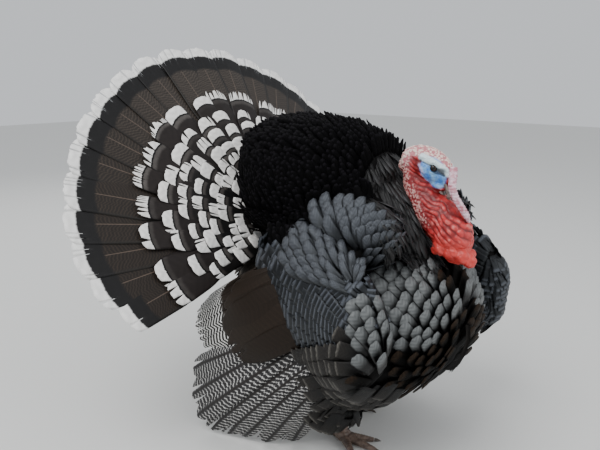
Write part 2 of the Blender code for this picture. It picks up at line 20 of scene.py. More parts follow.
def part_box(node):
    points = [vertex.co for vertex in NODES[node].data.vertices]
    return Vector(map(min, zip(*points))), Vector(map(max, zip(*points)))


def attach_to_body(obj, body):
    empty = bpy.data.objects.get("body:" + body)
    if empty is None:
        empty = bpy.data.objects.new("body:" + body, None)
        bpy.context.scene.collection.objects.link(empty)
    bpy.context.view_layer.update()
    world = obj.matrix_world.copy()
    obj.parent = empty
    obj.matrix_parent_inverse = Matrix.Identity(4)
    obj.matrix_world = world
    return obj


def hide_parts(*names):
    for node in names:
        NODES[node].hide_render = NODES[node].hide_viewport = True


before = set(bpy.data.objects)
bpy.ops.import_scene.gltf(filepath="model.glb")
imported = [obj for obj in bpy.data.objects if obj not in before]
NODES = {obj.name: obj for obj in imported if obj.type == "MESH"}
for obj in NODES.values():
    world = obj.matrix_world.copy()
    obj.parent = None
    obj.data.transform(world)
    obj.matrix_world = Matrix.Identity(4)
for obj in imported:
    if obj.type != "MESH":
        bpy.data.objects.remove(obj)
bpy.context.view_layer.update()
BOTH = ((1, "left"), (-1, "right"))          # the bird's left side is +X, and it faces -Y

# %% [markdown]
# ## Camera, floor and light
# The camera stands low at the bird's right front, a little above its back, and looks slightly
# down. The floor is plain and pale. Black plumage needs broad, soft lights: their reflections
# draw the edge of every feather, where one small lamp would leave the bird a black hole.

# %% Camera
CAMERA_PLACE = Vector((-0.97, -0.835, 0.661))
CAMERA_TURN = math.radians(-48.0)            # round the vertical, from looking along +Y
CAMERA_DIP = math.radians(12.8)              # below the horizon
LENS = 42.0


def add_object(name, data):
    """An object of a mesh, a lamp or a camera, put in the scene."""
    item = bpy.data.objects.new(name, data)
    bpy.context.scene.collection.objects.link(item)
    return item


lens = bpy.data.cameras.new("camera")
lens.lens = LENS
lens.sensor_width = 36.0
camera = add_object("camera", lens)
camera.location = CAMERA_PLACE
camera.rotation_euler = (math.pi / 2 - CAMERA_DIP, 0.0, CAMERA_TURN)
bpy.context.scene.camera = camera
print("camera at", tuple(round(v, 2) for v in CAMERA_PLACE))


# %% Node helpers
def wire(tree, source, target):
    tree.links.new(source, target)


def feed(tree, node, word, value):
    """Give one input of a node a number, a colour or the output of another node."""
    if isinstance(value, bpy.types.NodeSocket):
        wire(tree, value, node.inputs[word])
    elif isinstance(value, tuple):
        node.inputs[word].default_value = (*value, 1.0)
    else:
        node.inputs[word].default_value = value


def add_node(tree, kind, inputs=None, **settings):
    """A node with its settings, and its inputs by name or number."""
    node = tree.nodes.new(kind)
    for name, value in settings.items():
        setattr(node, name, value)
    for word, value in (inputs or {}).items():
        feed(tree, node, word, value)
    return node


def math_node(tree, operation, *values):
    """A Math node of sockets and numbers. Returns its output, as the next helpers do."""
    node = add_node(tree, "ShaderNodeMath", dict(enumerate(values)), operation=operation)
    return node.outputs[0]


def times(tree, first, second):
    return math_node(tree, "MULTIPLY", first, second)


def ramp(tree, factor, low, high):
    """A smooth step of a socket from 0 at low to 1 at high."""
    limits = {"Value": factor, "From Min": low, "From Max": high}
    node = add_node(tree, "ShaderNodeMapRange", limits, interpolation_type="SMOOTHSTEP")
    return node.outputs["Result"]


def mix(tree, factor, first, second):
    """A colour between two colours. Each is a socket or a value."""
    inputs = {0: factor, 6: first, 7: second}
    return add_node(tree, "ShaderNodeMix", inputs, data_type="RGBA").outputs[2]


def clouds(tree, place, scale, detail):
    """Soft noise over a place."""
    inputs = {"Vector": place, "Scale": scale, "Detail": detail}
    return add_node(tree, "ShaderNodeTexNoise", inputs).outputs["Fac"]


def parts_of(tree, vector):
    """The three numbers of a vector socket."""
    return add_node(tree, "ShaderNodeSeparateXYZ", {0: vector}).outputs


def attribute(tree, name, output="Vector"):
    return add_node(tree, "ShaderNodeAttribute", attribute_name=name).outputs[output]


def new_finish(name, values):
    """A material, its tree and its shader, which takes the values."""
    material = bpy.data.materials.new(name)
    material.use_nodes = True
    shader = material.node_tree.nodes["Principled BSDF"]
    for word, value in values.items():
        feed(material.node_tree, shader, word, value)
    return material, material.node_tree, shader


def emboss(tree, shader, height, strength, distance):
    """Raise a finish by a height socket, for the light only."""
    inputs = {"Height": height, "Strength": strength, "Distance": distance}
    bump = add_node(tree, "ShaderNodeBump", inputs)
    wire(tree, bump.outputs["Normal"], shader.inputs["Normal"])


# %% Measures and mesh helpers
def side_of(point):
    """1 on the bird's left side, -1 on its right."""
    return 1.0 if point.x > 0.0 else -1.0


def fade(value, low, high):
    """0 below low, 1 above high, smooth between. low may be the greater."""
    share = min(max((value - low) / (high - low), 0.0), 1.0)
    return share * share * (3.0 - 2.0 * share)


def level(rows, place):
    """A value between the rows of a table of places and values."""
    for (low, a), (high, b) in zip(rows, rows[1:]):
        if place < high:
            return a + (b - a) * max((place - low) / (high - low), 0.0)
    return rows[-1][1]


def rows_at(rows, share):
    """A point of the smooth curve through some points."""
    last = len(rows) - 1
    place = min(max(share, 0.0), 1.0) * last
    i = min(int(place), last - 1)
    f = place - i
    before = Vector(rows[max(i - 1, 0)])
    here = Vector(rows[i])
    there = Vector(rows[i + 1])
    after = Vector(rows[min(i + 2, last)])
    bend = (2 * before - 5 * here + 4 * there - after) * f * f
    bend += (3 * here - before - 3 * there + after) * f ** 3
    return 0.5 * (2 * here + (there - before) * f + bend)


def store(mesh, **lists):
    """Keep lists of vectors as attributes of a mesh's points."""
    for word, values in lists.items():
        layer = mesh.attributes.new(word, "FLOAT_VECTOR", "POINT")
        layer.data.foreach_set("vector", [x for value in values for x in value])


def chart_points(mesh, patch):
    """Write the bake chart of a mesh from the place of each of its points."""
    chart = mesh.uv_layers.new(name="OFBake")
    for loop in mesh.loops:
        chart.data[loop.index].uv = patch[loop.vertex_index]


def settle(item):
    """Turn an object's evaluated shape into its plain mesh, with no modifier left."""
    graph = bpy.context.evaluated_depsgraph_get()
    mesh = bpy.data.meshes.new_from_object(item.evaluated_get(graph))
    mesh.name = item.name
    item.modifiers.clear()
    item.data = mesh
    return item


# %% Floor, sky and lamps
bpy.ops.mesh.primitive_plane_add(size=14.0)
floor = bpy.context.object
floor.name = "floor"
floor_looks = {"Base Color": (0.74, 0.74, 0.72), "Roughness": 0.8}
floor.data.materials.append(new_finish("floor_paint", floor_looks)[0])

sky = bpy.data.worlds.new("studio")
sky.use_nodes = True
sky.node_tree.nodes["Background"].inputs["Color"].default_value = (0.93, 0.96, 1.0, 1.0)
sky.node_tree.nodes["Background"].inputs["Strength"].default_value = 0.75
bpy.context.scene.world = sky


def soft_box(name, place, target, size, power):
    """A square lamp that faces a target."""
    lamp = bpy.data.lights.new(name, "AREA")
    lamp.size = size
    lamp.energy = power
    item = add_object(name, lamp)
    item.location = place
    item.rotation_euler = (Vector(target) - Vector(place)).to_track_quat("-Z", "Y").to_euler()


soft_box("key_light", (-1.6, -0.2, 2.4), (0.0, 0.0, 0.35), 1.6, 46.0)
soft_box("front_light", (0.6, -2.4, 1.3), (0.0, 0.0, 0.35), 1.4, 16.0)
soft_box("back_light", (0.8, 2.2, 2.0), (0.0, 0.0, 0.4), 1.6, 18.0)

# %% [markdown]
# ## Finishes shared by all feathers
# A feather is a shaft with two vanes of fine barbs that slant towards the tip. Three effects
# come back: the ribs of the barbs on every plume, and on the quills the line of the shaft and
# bars across the vane. Each is a shader node group that reads a place on its own feather. That
# place is an attribute called vane: x runs from -1 to 1 across the feather, and y from 0 at the
# root to 1 at the tip. A second attribute, shade, holds three tones for each feather: a random
# one, and two that mostly say where on the bird it grows.

# %% Shader groups
def vane_group(name, numbers, outputs):
    """A group that reads Vane and some numbers.

    Returns it, the outputs of its start, its end, the distance u from the shaft, and v."""
    group = bpy.data.node_groups.new(name, "ShaderNodeTree")
    group.interface.new_socket("Vane", in_out="INPUT", socket_type="NodeSocketVector")
    for word, value in numbers.items():
        socket = group.interface.new_socket(word, in_out="INPUT", socket_type="NodeSocketFloat")
        socket.default_value = value
    for word in outputs:
        group.interface.new_socket(word, in_out="OUTPUT", socket_type="NodeSocketFloat")
    given = group.nodes.new("NodeGroupInput").outputs
    place = parts_of(group, given["Vane"])
    across = math_node(group, "ABSOLUTE", place[0])
    return group, given, group.nodes.new("NodeGroupOutput"), across, place[1]


def slanted_count(group, given, u, v):
    """The number of ribs or bars up to a place, on lines that slant towards the tip."""
    along = math_node(group, "SUBTRACT", v, times(group, u, given["Slant"]))
    return times(group, along, given["Count"])


def build_barbs():
    """Fine ribs that leave the shaft at a slant."""
    group, given, end, u, v = vane_group("barbs", {"Count": 60.0, "Slant": 0.25, "Wander": 0.6},
                                         ("Ribs", "Clumps"))
    cloud = clouds(group, given["Vane"], 7.0, 2.0)
    drift = times(group, cloud, given["Wander"])
    phase = math_node(group, "ADD", slanted_count(group, given, u, v), drift)
    wave = math_node(group, "SINE", times(group, phase, 2.0 * math.pi))
    wire(group, math_node(group, "MULTIPLY_ADD", wave, 0.5, 0.5), end.inputs["Ribs"])
    slow = times(group, math_node(group, "SINE", times(group, phase, 0.9)), cloud)
    wire(group, math_node(group, "MULTIPLY_ADD", slow, 0.5, 0.5), end.inputs["Clumps"])
    return group


def build_shaft():
    """A narrow band down the middle of the feather, thinner towards the tip."""
    group, given, end, u, v = vane_group("shaft", {"Width": 0.05}, ("Line",))
    width = times(group, math_node(group, "MULTIPLY_ADD", v, -0.75, 1.0), given["Width"])
    wire(group, ramp(group, math_node(group, "DIVIDE", u, width), 1.3, 0.7), end.inputs["Line"])
    return group


def build_bars():
    """Slanted bars across the vane. Share is the light part of each bar and gap."""
    group, given, end, u, v = vane_group(
        "bars", {"Count": 20.0, "Slant": 0.1, "Share": 0.4, "Wobble": 0.4, "Seed": 0.0},
        ("Bars",))
    inputs = {"Vector": given["Vane"], "W": given["Seed"], "Scale": 5.0, "Detail": 2.0}
    cloud = add_node(group, "ShaderNodeTexNoise", inputs, noise_dimensions="4D").outputs["Fac"]
    drift = times(group, cloud, given["Wobble"])
    wavy_count = math_node(group, "ADD", slanted_count(group, given, u, v), drift)
    place = math_node(group, "FRACT", math_node(group, "ADD", wavy_count, given["Seed"]))
    edge = math_node(group, "ABSOLUTE", math_node(group, "SUBTRACT", place, 0.5))
    gap = math_node(group, "SUBTRACT", times(group, given["Share"], 0.5), edge)
    wire(group, ramp(group, gap, -0.05, 0.05), end.inputs["Bars"])
    return group


BARBS = build_barbs()
SHAFT = build_shaft()
BARS = build_bars()
print("groups:", [group.name for group in (BARBS, SHAFT, BARS)])


# %% The common frame of a plume finish
EVEN = (1.0, 1.0, 1.0)                       # a gloss with no tint
COOL = (0.86, 0.93, 1.0)                     # the blue gloss of the slate feathers


def use_group(tree, group, vane, **values):
    """The outputs of a group fed with a vane socket. A value is a number or a socket."""
    inputs = {word.capitalize(): value for word, value in values.items()}
    return add_node(tree, "ShaderNodeGroup", {"Vane": vane, **inputs}, node_tree=group).outputs


def around_one(tree, factor, swing):
    """A factor from 0 to 1 turned into a brightness round 1."""
    return math_node(tree, "MULTIPLY_ADD", factor, swing, 1.0 - swing / 2.0)


def plume_finish(name, colour_of, roughness, specular, barbs, slant=0.25, relief=0.25,
                 gloss=EVEN, mottle=0.9, combed=0.35):
    """A feather material. colour_of builds its colour from the tree and the place.

    mottle and combed are how much the clumps and the ribs of the barbs lighten it."""
    material, tree, shader = new_finish(name, {"Specular IOR Level": specular,
                                               "Specular Tint": gloss})
    vane = attribute(tree, "vane")
    tones = parts_of(tree, attribute(tree, "shade"))
    place = parts_of(tree, vane)
    ribs, clumps = use_group(tree, BARBS, vane, count=barbs, slant=slant)
    colour = colour_of(tree, SimpleNamespace(
        vane=vane, u=math_node(tree, "ABSOLUTE", place[0]), v=place[1], random=tones[0],
        tone=tones[1], second=tones[2], clumps=clumps))
    light = times(tree, around_one(tree, clumps, mottle), around_one(tree, ribs, combed))
    scale = add_node(tree, "ShaderNodeVectorMath", {0: colour, "Scale": light}, operation="SCALE")
    wire(tree, scale.outputs[0], shader.inputs["Base Color"])
    emboss(tree, shader, ribs, relief, 0.001)
    rough = math_node(tree, "MULTIPLY_ADD", ribs, 0.12, roughness - 0.06)
    wire(tree, rough, shader.inputs["Roughness"])
    return material


# %% [markdown]
# ## The colours of the tracts
# The bird looks black, but hardly a feather is: shoulders and wings are slate with a blue
# gloss, the breast is bronze with greyer tips, the flanks are brown, and only the puffed back
# is a true velvet black. Each finish mixes its colours over u, the distance from the shaft,
# and v, the way to the tip.

# %% Body plume colours
def window(tree, at, v_low, v_high, u_low, u_high):
    """A soft-edged part of the vane, from a ramp along it and one across it."""
    return times(tree, ramp(tree, at.v, v_low, v_high), ramp(tree, at.u, u_low, u_high))


def velvet_colour(tree, at):
    tip = ramp(tree, at.v, 0.82, 1.0)
    base = mix(tree, at.random, (0.0008, 0.0007, 0.0009), (0.0022, 0.002, 0.0024))
    return mix(tree, times(tree, tip, at.tone), base, (0.008, 0.007, 0.009))


def slate_colour(tree, at, joined=False):
    """Grey over the exposed end of the vane, black at its root, and black at its sides too
    unless the vanes are joined into smooth rows. The grey is partly the feathers' own and
    partly painted sheen. The black sides and the dark rim at the tip are painted shadow between
    the feathers, and in joined rows the dark root up to the grey band is the painted shadow of
    the row above."""
    middle = 1.0 if joined else ramp(tree, at.u, 1.0, 0.62)
    show = times(tree, ramp(tree, at.v, *((0.7, 0.86) if joined else (0.3, 0.8))), middle)
    spread = times(tree, at.random, 0.35 if joined else 1.0)

    def grey(low, high):
        strong, weak = (1.7, 1.5) if joined else (0.9, 0.9)
        return mix(tree, spread, tuple(strong * c for c in low), tuple(weak * c for c in high))

    cool = grey((0.034, 0.038, 0.046), (0.078, 0.083, 0.094))
    warm = grey((0.034, 0.035, 0.032), (0.074, 0.075, 0.068))
    lit = mix(tree, at.tone, (0.008, 0.008, 0.009), mix(tree, at.second, cool, warm))
    # Painted shadow: a dark rim at the tip, where it meets the next row.
    rim = ramp(tree, at.v, *((0.9, 0.97) if joined else (0.955, 0.985)))
    dark = (0.003, 0.003, 0.0034)
    return mix(tree, rim, mix(tree, show, dark, lit), dark)


def bronze_colour(tree, at):
    """Breast and belly: dark root, a grey, olive or brown end, and a darker rim."""
    show = window(tree, at, 0.38, 0.78, 1.0, 0.8)
    olive = mix(tree, at.random, (0.085, 0.091, 0.091), (0.165, 0.174, 0.176))
    brown = mix(tree, at.random, (0.03, 0.018, 0.011), (0.13, 0.066, 0.038))
    end = mix(tree, at.second, olive, brown)
    # The tone is the painted light and shade of body_shade.
    lit = mix(tree, at.tone, (0.006, 0.005, 0.0042), end)
    return mix(tree, show, (0.0035, 0.0034, 0.0036), lit)


def umber_colour(tree, at):
    """Lower breast and belly: brown-black, darker than the breast as painted shade, the end of
    the vane a little lighter.
    """
    show = window(tree, at, 0.55, 0.9, 1.0, 0.7)
    end = mix(tree, at.random, (0.008, 0.006, 0.0045), (0.04, 0.026, 0.017))
    return mix(tree, show, (0.0025, 0.0022, 0.002), end)


def flank_colour(tree, at):
    """Brown feathers with a thin paler rim, stacked beside the leg."""
    rim = window(tree, at, 0.86, 0.97, 1.0, 0.94)
    brown = mix(tree, at.random, (0.005, 0.0043, 0.0036), (0.013, 0.0105, 0.0085))
    root = mix(tree, ramp(tree, at.v, 0.35, 0.8), (0.0035, 0.0033, 0.0033), brown)
    return mix(tree, times(tree, rim, at.tone), root, (0.105, 0.098, 0.086))


def cape_colour(tree, at):
    """Narrow ruff feathers: dark, with a paler line along each edge."""
    edge = window(tree, at, 0.25, 0.65, 0.35, 0.9)
    dark = mix(tree, at.second, (0.004, 0.0038, 0.004), (0.013, 0.0095, 0.0075))
    pale = mix(tree, at.random, (0.024, 0.024, 0.026), (0.1, 0.098, 0.102))
    return mix(tree, times(tree, edge, at.tone), dark, pale)


def fluff_colour(tree, at):
    """Soft feathers under the tail and round the vent: dusky, with dull pale ends."""
    tip = ramp(tree, at.v, 0.8, 0.97)
    dark = mix(tree, at.random, (0.014, 0.011, 0.009), (0.034, 0.027, 0.021))
    return mix(tree, times(tree, tip, at.tone), dark, (0.15, 0.125, 0.1))


VELVET = plume_finish("velvet_black", velvet_colour, 0.8, 0.06, 26.0, 0.3, 0.35)
SLATE = plume_finish("slate_gloss", slate_colour, 0.4, 0.5, 46.0, gloss=COOL)
COVERT_SLATE = plume_finish("covert_slate", lambda tree, at: slate_colour(tree, at, True), 0.42,
                            0.4, 46.0, 0.25, 0.1, COOL, 0.5, 0.12)
BRONZE = plume_finish("bronze_breast", bronze_colour, 0.42, 0.3, 40.0, 0.25, 0.1, EVEN, 0.7, 0.14)
UMBER = plume_finish("umber_belly", umber_colour, 0.6, 0.05, 40.0)
FLANK = plume_finish("flank_brown", flank_colour, 0.5, 0.25, 50.0)
CAPE = plume_finish("cape_streaks", cape_colour, 0.46, 0.4, 40.0, 0.5)
FLUFF = plume_finish("dusky_fluff", fluff_colour, 0.7, 0.12, 30.0, 0.4, 0.35)
print("body finishes:", [m.name for m in (VELVET, SLATE, BRONZE, UMBER, FLANK, CAPE, FLUFF)])


# %% [markdown]
# The quills of tail and wing carry the bold marks. A tail quill is brown with close, wavy,
# paler bars, then comes a black band and a broad white end. A tail covert has the same white
# end behind a thin black line. A wing quill is barred black and white to its tip, and the
# folded secondaries are brown where they overlap and latticed where their ends show.

# %% Quill colours
TAIL_BLACK = 0.868           # share of a tail quill's length where its black band starts
TAIL_WHITE = 0.944           # and where the white end starts


def wavy(tree, at, edge, amount=0.012):
    """v shifted a little across the feather, so that a band's edge isn't ruled."""
    cloud = clouds(tree, at.vane, 9.0, 3.0)
    shift = math_node(tree, "MULTIPLY_ADD", cloud, amount, -amount / 2)
    bow = times(tree, times(tree, at.u, at.u), edge)
    return math_node(tree, "ADD", math_node(tree, "ADD", at.v, shift), bow)


def tail_colour(tree, at):
    place = wavy(tree, at, 0.016)
    bars = use_group(tree, BARS, at.vane, count=64.0, slant=0.06, share=0.42, wobble=3.2,
                     seed=at.random)
    brown = mix(tree, at.tone, (0.013, 0.0095, 0.0075), (0.03, 0.024, 0.02))
    light = mix(tree, at.tone, (0.036, 0.025, 0.018), (0.08, 0.066, 0.054))
    body = mix(tree, times(tree, bars[0], 0.62), brown, light)
    outer = mix(tree, ramp(tree, at.u, 0.75, 1.0), body, (0.014, 0.012, 0.01))
    shaft = use_group(tree, SHAFT, at.vane, width=0.045)
    shown = mix(tree, times(tree, shaft[0], 0.65), outer, (0.15, 0.11, 0.085))
    black = mix(tree, ramp(tree, place, TAIL_BLACK - 0.012, TAIL_BLACK + 0.006), shown,
                (0.0065, 0.006, 0.0062))
    return mix(tree, ramp(tree, place, TAIL_WHITE - 0.004, TAIL_WHITE + 0.006), black,
               (0.86, 0.85, 0.83))


def covert_colour(tree, at):
    """Tone is the white end's share of the feather's length."""
    place = wavy(tree, at, 0.04, 0.03)
    rest = math_node(tree, "SUBTRACT", 1.0, place)
    part = math_node(tree, "DIVIDE", rest, at.tone)
    dark = mix(tree, at.second, (0.004, 0.0036, 0.0036), (0.016, 0.012, 0.011))
    grey = mix(tree, at.random, (0.02, 0.016, 0.015), (0.085, 0.076, 0.07))
    body = mix(tree, ramp(tree, part, 1.75, 1.4), dark, grey)
    line = mix(tree, ramp(tree, part, 1.22, 1.14), body, (0.0035, 0.003, 0.003))
    white = mix(tree, ramp(tree, part, 1.03, 0.97), line, (0.84, 0.82, 0.79))
    side = ramp(tree, at.u, 0.93, 0.975)
    return mix(tree, side, white, (0.012, 0.01, 0.01))


def primary_colour(tree, at):
    """White bars on grey-black, with a dark shaft."""
    bars = use_group(tree, BARS, at.vane, count=30.0, slant=-0.02, share=0.27, wobble=1.6,
                     seed=at.random)
    ground = mix(tree, at.clumps, (0.008, 0.0075, 0.0075), (0.034, 0.033, 0.035))
    shown = times(tree, bars[0], ramp(tree, at.u, 0.06, 0.22))
    pale = mix(tree, at.clumps, (0.28, 0.27, 0.26), (0.66, 0.65, 0.63))
    barred = mix(tree, shown, ground, pale)
    shaft = use_group(tree, SHAFT, at.vane, width=0.14)
    return mix(tree, shaft[0], barred, (0.016, 0.013, 0.012))


def secondary_colour(tree, at):
    """Brown and finely rippled, with a lattice of white bars over the outer end."""
    ripple = use_group(tree, BARS, at.vane, count=34.0, slant=0.05, share=0.5, wobble=2.4,
                       seed=at.random)
    dark = mix(tree, at.random, (0.011, 0.007, 0.0045), (0.02, 0.013, 0.0085))
    brown = mix(tree, times(tree, ripple[0], 0.1), dark, (0.034, 0.024, 0.016))
    bars = use_group(tree, BARS, at.vane, count=25.0, slant=-0.05, share=0.4, wobble=0.4,
                     seed=at.random)
    start = math_node(tree, "MULTIPLY_ADD", at.tone, -0.55, 0.98)
    end = math_node(tree, "ADD", start, 0.06)
    net = mix(tree, bars[0], (0.007, 0.006, 0.006), (0.72, 0.71, 0.68))
    return mix(tree, ramp(tree, at.v, start, end), brown, net)


TAIL = plume_finish("tail_quill", tail_colour, 0.5, 0.3, 150.0, 0.05, 0.1, EVEN, 0.25, 0.1)
COVERT = plume_finish("tail_covert", covert_colour, 0.55, 0.25, 60.0, 0.15, 0.1, EVEN, 0.3, 0.1)
PRIMARY = plume_finish("barred_quill", primary_colour, 0.5, 0.25, 120.0, 0.1, 0.12, EVEN, 0.3, 0.12)
SECONDARY = plume_finish("brown_quill", secondary_colour, 0.52, 0.15, 110.0, 0.1, 0.1, EVEN,
                         0.4, 0.12)
print("quill finishes:", [m.name for m in (TAIL, COVERT, PRIMARY, SECONDARY)])

# %% [markdown]
# ## One skin
# A single skin stands for all the nodes of flesh. Round the body it lies under the plumage,
# deeper than the roots of the feathers, and is never seen, but its near-black colour is painted
# shade that closes every gap between them. Head and neck are bare, so there it is modelled
# finely: lofted first, fused with the lobes of the wattle, and then raised into warts, folds and
# a brow.

# %% Fused and lofted shapes
def joined_points(parts):
    """Several (points, faces) lists as one."""
    points, faces = [], []
    for part_points, part_faces in parts:
        first = len(points)
        points += part_points
        faces += [tuple(first + i for i in face) for face in part_faces]
    return points, faces


def joined_copy(name, parts):
    """One object of several (points, faces) lists."""
    points, faces = joined_points(parts)
    mesh = bpy.data.meshes.new(name)
    mesh.from_pydata(points, [], faces)
    return add_object(name, mesh)


def grown_node(name, growth=0.0):
    """Points and faces of a solid, moved outwards by a growth."""
    mesh = NODES[name].data
    points = [corner.co + corner.normal * growth for corner in mesh.vertices]
    return points, [tuple(face.vertices) for face in mesh.polygons]


def fused(item, voxel, smoothing):
    """Melt overlapping shells into one even surface and smooth its facets away."""
    melt = item.modifiers.new("melt", "REMESH")
    melt.mode = "VOXEL"
    melt.voxel_size = voxel
    melt.use_smooth_shade = True
    calm = item.modifiers.new("calm", "SMOOTH")
    calm.factor = 0.5
    calm.iterations = smoothing
    return settle(item)


def tube_shell(path, radii, sides=20, steps=6):
    """A round tube on a smooth path, with rounded ends. radii are (across, deep) pairs."""
    last = (len(path) - 1) * steps
    body = []
    for i in range(last + 1):
        share = i / last
        ahead = rows_at(path, min(share + 0.01, 1.0)) - rows_at(path, max(share - 0.01, 0.0))
        ahead.normalize()
        side = Vector((1.0, 0.0, 0.0))
        side = (side - ahead * side.dot(ahead)).normalized()
        wide, deep, _ = rows_at([(*pair, 0.0) for pair in radii], share)
        body.append((rows_at(path, share), ahead, side, side.cross(ahead), wide, deep))

    def dome(ring, way):
        """Three rings and a tip that close one end of the tube."""
        centre, ahead, side, up, wide, deep = ring
        turns = [math.pi / 8 * k for k in (1, 2, 3, 4)]
        return [(centre + ahead * (way * 0.5 * (wide + deep) * math.sin(turn)), ahead, side, up,
                 wide * math.cos(turn), deep * math.cos(turn)) for turn in turns]

    front, back = dome(body[0], -1.0), dome(body[-1], 1.0)
    stack = front[2::-1] + body + back[:3]
    points = []
    for centre, _, side, up, wide, deep in stack:
        for j in range(sides):
            turn = 2.0 * math.pi * j / sides
            points.append(centre + side * (wide * math.cos(turn)) + up * (deep * math.sin(turn)))
    end = (len(stack) - 1) * sides
    pairs = [(j, (j + 1) % sides) for j in range(sides)]
    faces = [(i + j, i + k, i + k + sides, i + j + sides)
             for i in range(0, end, sides) for j, k in pairs]
    for j, k in pairs:
        faces += [(len(points), k, j), (len(points) + 1, end + j, end + k)]
    return points + [front[3][0], back[3][0]], faces


def ball_shell(centre, size):
    """An ellipsoid."""
    ball = bmesh.new()
    bmesh.ops.create_icosphere(ball, subdivisions=4, radius=1.0)
    points = [Vector(centre) + Vector(size) * corner.co for corner in ball.verts]
    faces = [tuple(corner.index for corner in face.verts) for face in ball.faces]
    ball.free()
    return points, faces


# %% Body skin
BODY_FLESH = ["trunk", "mantle", "cape"]
BODY_FLESH += [kind + word for kind in ("wing_", "scapulars_", "thigh_") for _, word in BOTH]
COAT_DEPTH = 0.0085


def body_skin():
    item = joined_copy("body_skin", [grown_node(name, 0.0012) for name in BODY_FLESH])
    fused(item, 0.0065, 6)
    sink = item.modifiers.new("sink", "DISPLACE")
    sink.strength = -COAT_DEPTH
    sink.mid_level = 0.0
    return settle(item)


# %% [markdown]
# ### Head and neck
# The head hangs forward over the breast, bill down. Its sizes are half widths and half depths
# along a line down its middle. The wattle is a heap of swollen lobes, largest in front.

# %% Head and neck shells
HEAD_LINE = ((-0.195, 0.501), (-0.202, 0.504), (-0.214, 0.508), (-0.234, 0.508),
             (-0.252, 0.5025), (-0.267, 0.4935), (-0.2765, 0.4855))
HEAD_SIZES = ((0.009, 0.011), (0.0165, 0.02), (0.0218, 0.0262), (0.0238, 0.0276),
              (0.0222, 0.0256), (0.017, 0.0196), (0.012, 0.0128))
NECK_LINE = ((-0.218, 0.492), (-0.227, 0.466), (-0.246, 0.438), (-0.2765, 0.414),
             (-0.292, 0.392), (-0.297, 0.376))
NECK_SIZES = ((0.0222, 0.0215), (0.025, 0.0268), (0.0278, 0.0322), (0.03, 0.034),
              (0.029, 0.031), (0.0222, 0.023))
LOBES = (                     # centre and half sizes of the wattle's lobes
    ((-0.021, -0.279, 0.378), (0.0105, 0.013, 0.0105)),
    ((-0.017, -0.298, 0.374), (0.011, 0.012, 0.01)),
    ((-0.01, -0.313, 0.368), (0.011, 0.011, 0.0105)),
    ((-0.002, -0.321, 0.362), (0.0105, 0.0105, 0.011)),
    ((0.01, -0.312, 0.367), (0.011, 0.011, 0.0105)),
    ((0.018, -0.297, 0.373), (0.011, 0.012, 0.01)),
    ((0.021, -0.278, 0.378), (0.0105, 0.013, 0.0105)),
    ((0.000, -0.292, 0.372), (0.017, 0.017, 0.013)),
)


def eye_place(side):
    low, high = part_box("eye_left")
    middle = (low + high) / 2
    return Vector((side * middle.x, middle.y, middle.z))


EYE_RADIUS = (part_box("eye_left")[1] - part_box("eye_left")[0]).z / 2


# %% The relief of the bare skin
def ridge_along(point, path, width, height):
    """A smooth rise along a path. Both sides of the head share it."""
    here = Vector((abs(point.x), point.y, point.z))
    best = 1.0
    for a, b in zip(path, path[1:]):
        a, b = Vector(a), Vector(b)
        span = b - a
        share = min(max((here - a).dot(span) / span.length_squared, 0.0), 1.0)
        best = min(best, (here - (a + span * share)).length)
    return height * math.exp(-(best / width) ** 2)


def warts(point, size):
    """Round beads packed side by side: 1 on a bead's top, 0 in the gaps."""
    distances, _ = noise.voronoi(point / size)
    return max(0.0, 1.0 - (1.45 * distances[0]) ** 2)


BROW = ((0.018, -0.24, 0.5195), (0.0185, -0.2505, 0.516), (0.017, -0.262, 0.5105),
        (0.013, -0.274, 0.5025), (0.009, -0.285, 0.496))
BROW_GROOVE = ((0.0215, -0.244, 0.5125), (0.02, -0.256, 0.5085), (0.017, -0.266, 0.501),
               (0.0125, -0.276, 0.493))
CHEEK_LINE = ((0.0225, -0.237, 0.508), (0.023, -0.245, 0.493), (0.02, -0.254, 0.483),
              (0.015, -0.264, 0.477))
EAR = Vector((0.0225, -0.2385, 0.515))
EYE_SHADOW = Vector((0.018, -0.268, 0.5))     # where shade is painted round and before the eye, under the brow
GAPE = ((0.015, -0.26, 0.4815), (0.013, -0.269, 0.477), (0.009, -0.278, 0.47))


def brow_height(y):
    """Height of the brow line at a distance along the head."""
    return level([(-y2, z2) for _, y2, z2 in BROW], -y)


def nape_share(point):
    """1 on the crown and down the back of the neck, 0 on the face and throat."""
    height = point.z
    back = -0.226 - 0.62 * max(0.495 - height, 0.0) - 0.1 * max(height - 0.51, 0.0)
    above = brow_height(point.y)
    crown = fade(height, above - 0.002, above + 0.004) * fade(height, 0.488, 0.496)
    return max(fade(point.y, back - 0.001, back + 0.016) * fade(height, 0.402, 0.418), crown)


def face_share(point):
    """1 on the blue face round the eye, 0 on the neck. It slants down to the bill."""
    ahead = -0.259 - point.y
    down = 0.4965 - point.z
    along = 0.5 * ahead + 0.866 * down
    across = 0.866 * ahead - 0.5 * down
    return fade(math.hypot(along / 0.0265, across / 0.019), 1.08, 0.88)


def throat_relief(point):
    """Wavy folds that slant down and forward, coarser towards the wattle."""
    warp = noise.noise(point * 40.0) * 0.004 + noise.noise(point * 110.0) * 0.0012
    slope = math.radians(24.0 + 20.0 * fade(point.y, -0.262, -0.292))
    across = (point.y + 0.27) * math.sin(slope) - (point.z - 0.43) * math.cos(slope) + warp
    low = fade(point.z, 0.455, 0.395)
    pitch = 0.0068 + 0.0024 * low
    fold = abs(math.sin(math.pi * across / pitch)) ** 0.6
    lump = 0.5 + 0.5 * noise.noise(point * 110.0 + Vector((7.0, 1.0, 3.0)))
    cut = 0.55 + 0.75 * warts(point, 0.01)
    return (0.0016 + 0.0016 * low) * fold * cut * (0.45 + 0.95 * lump)


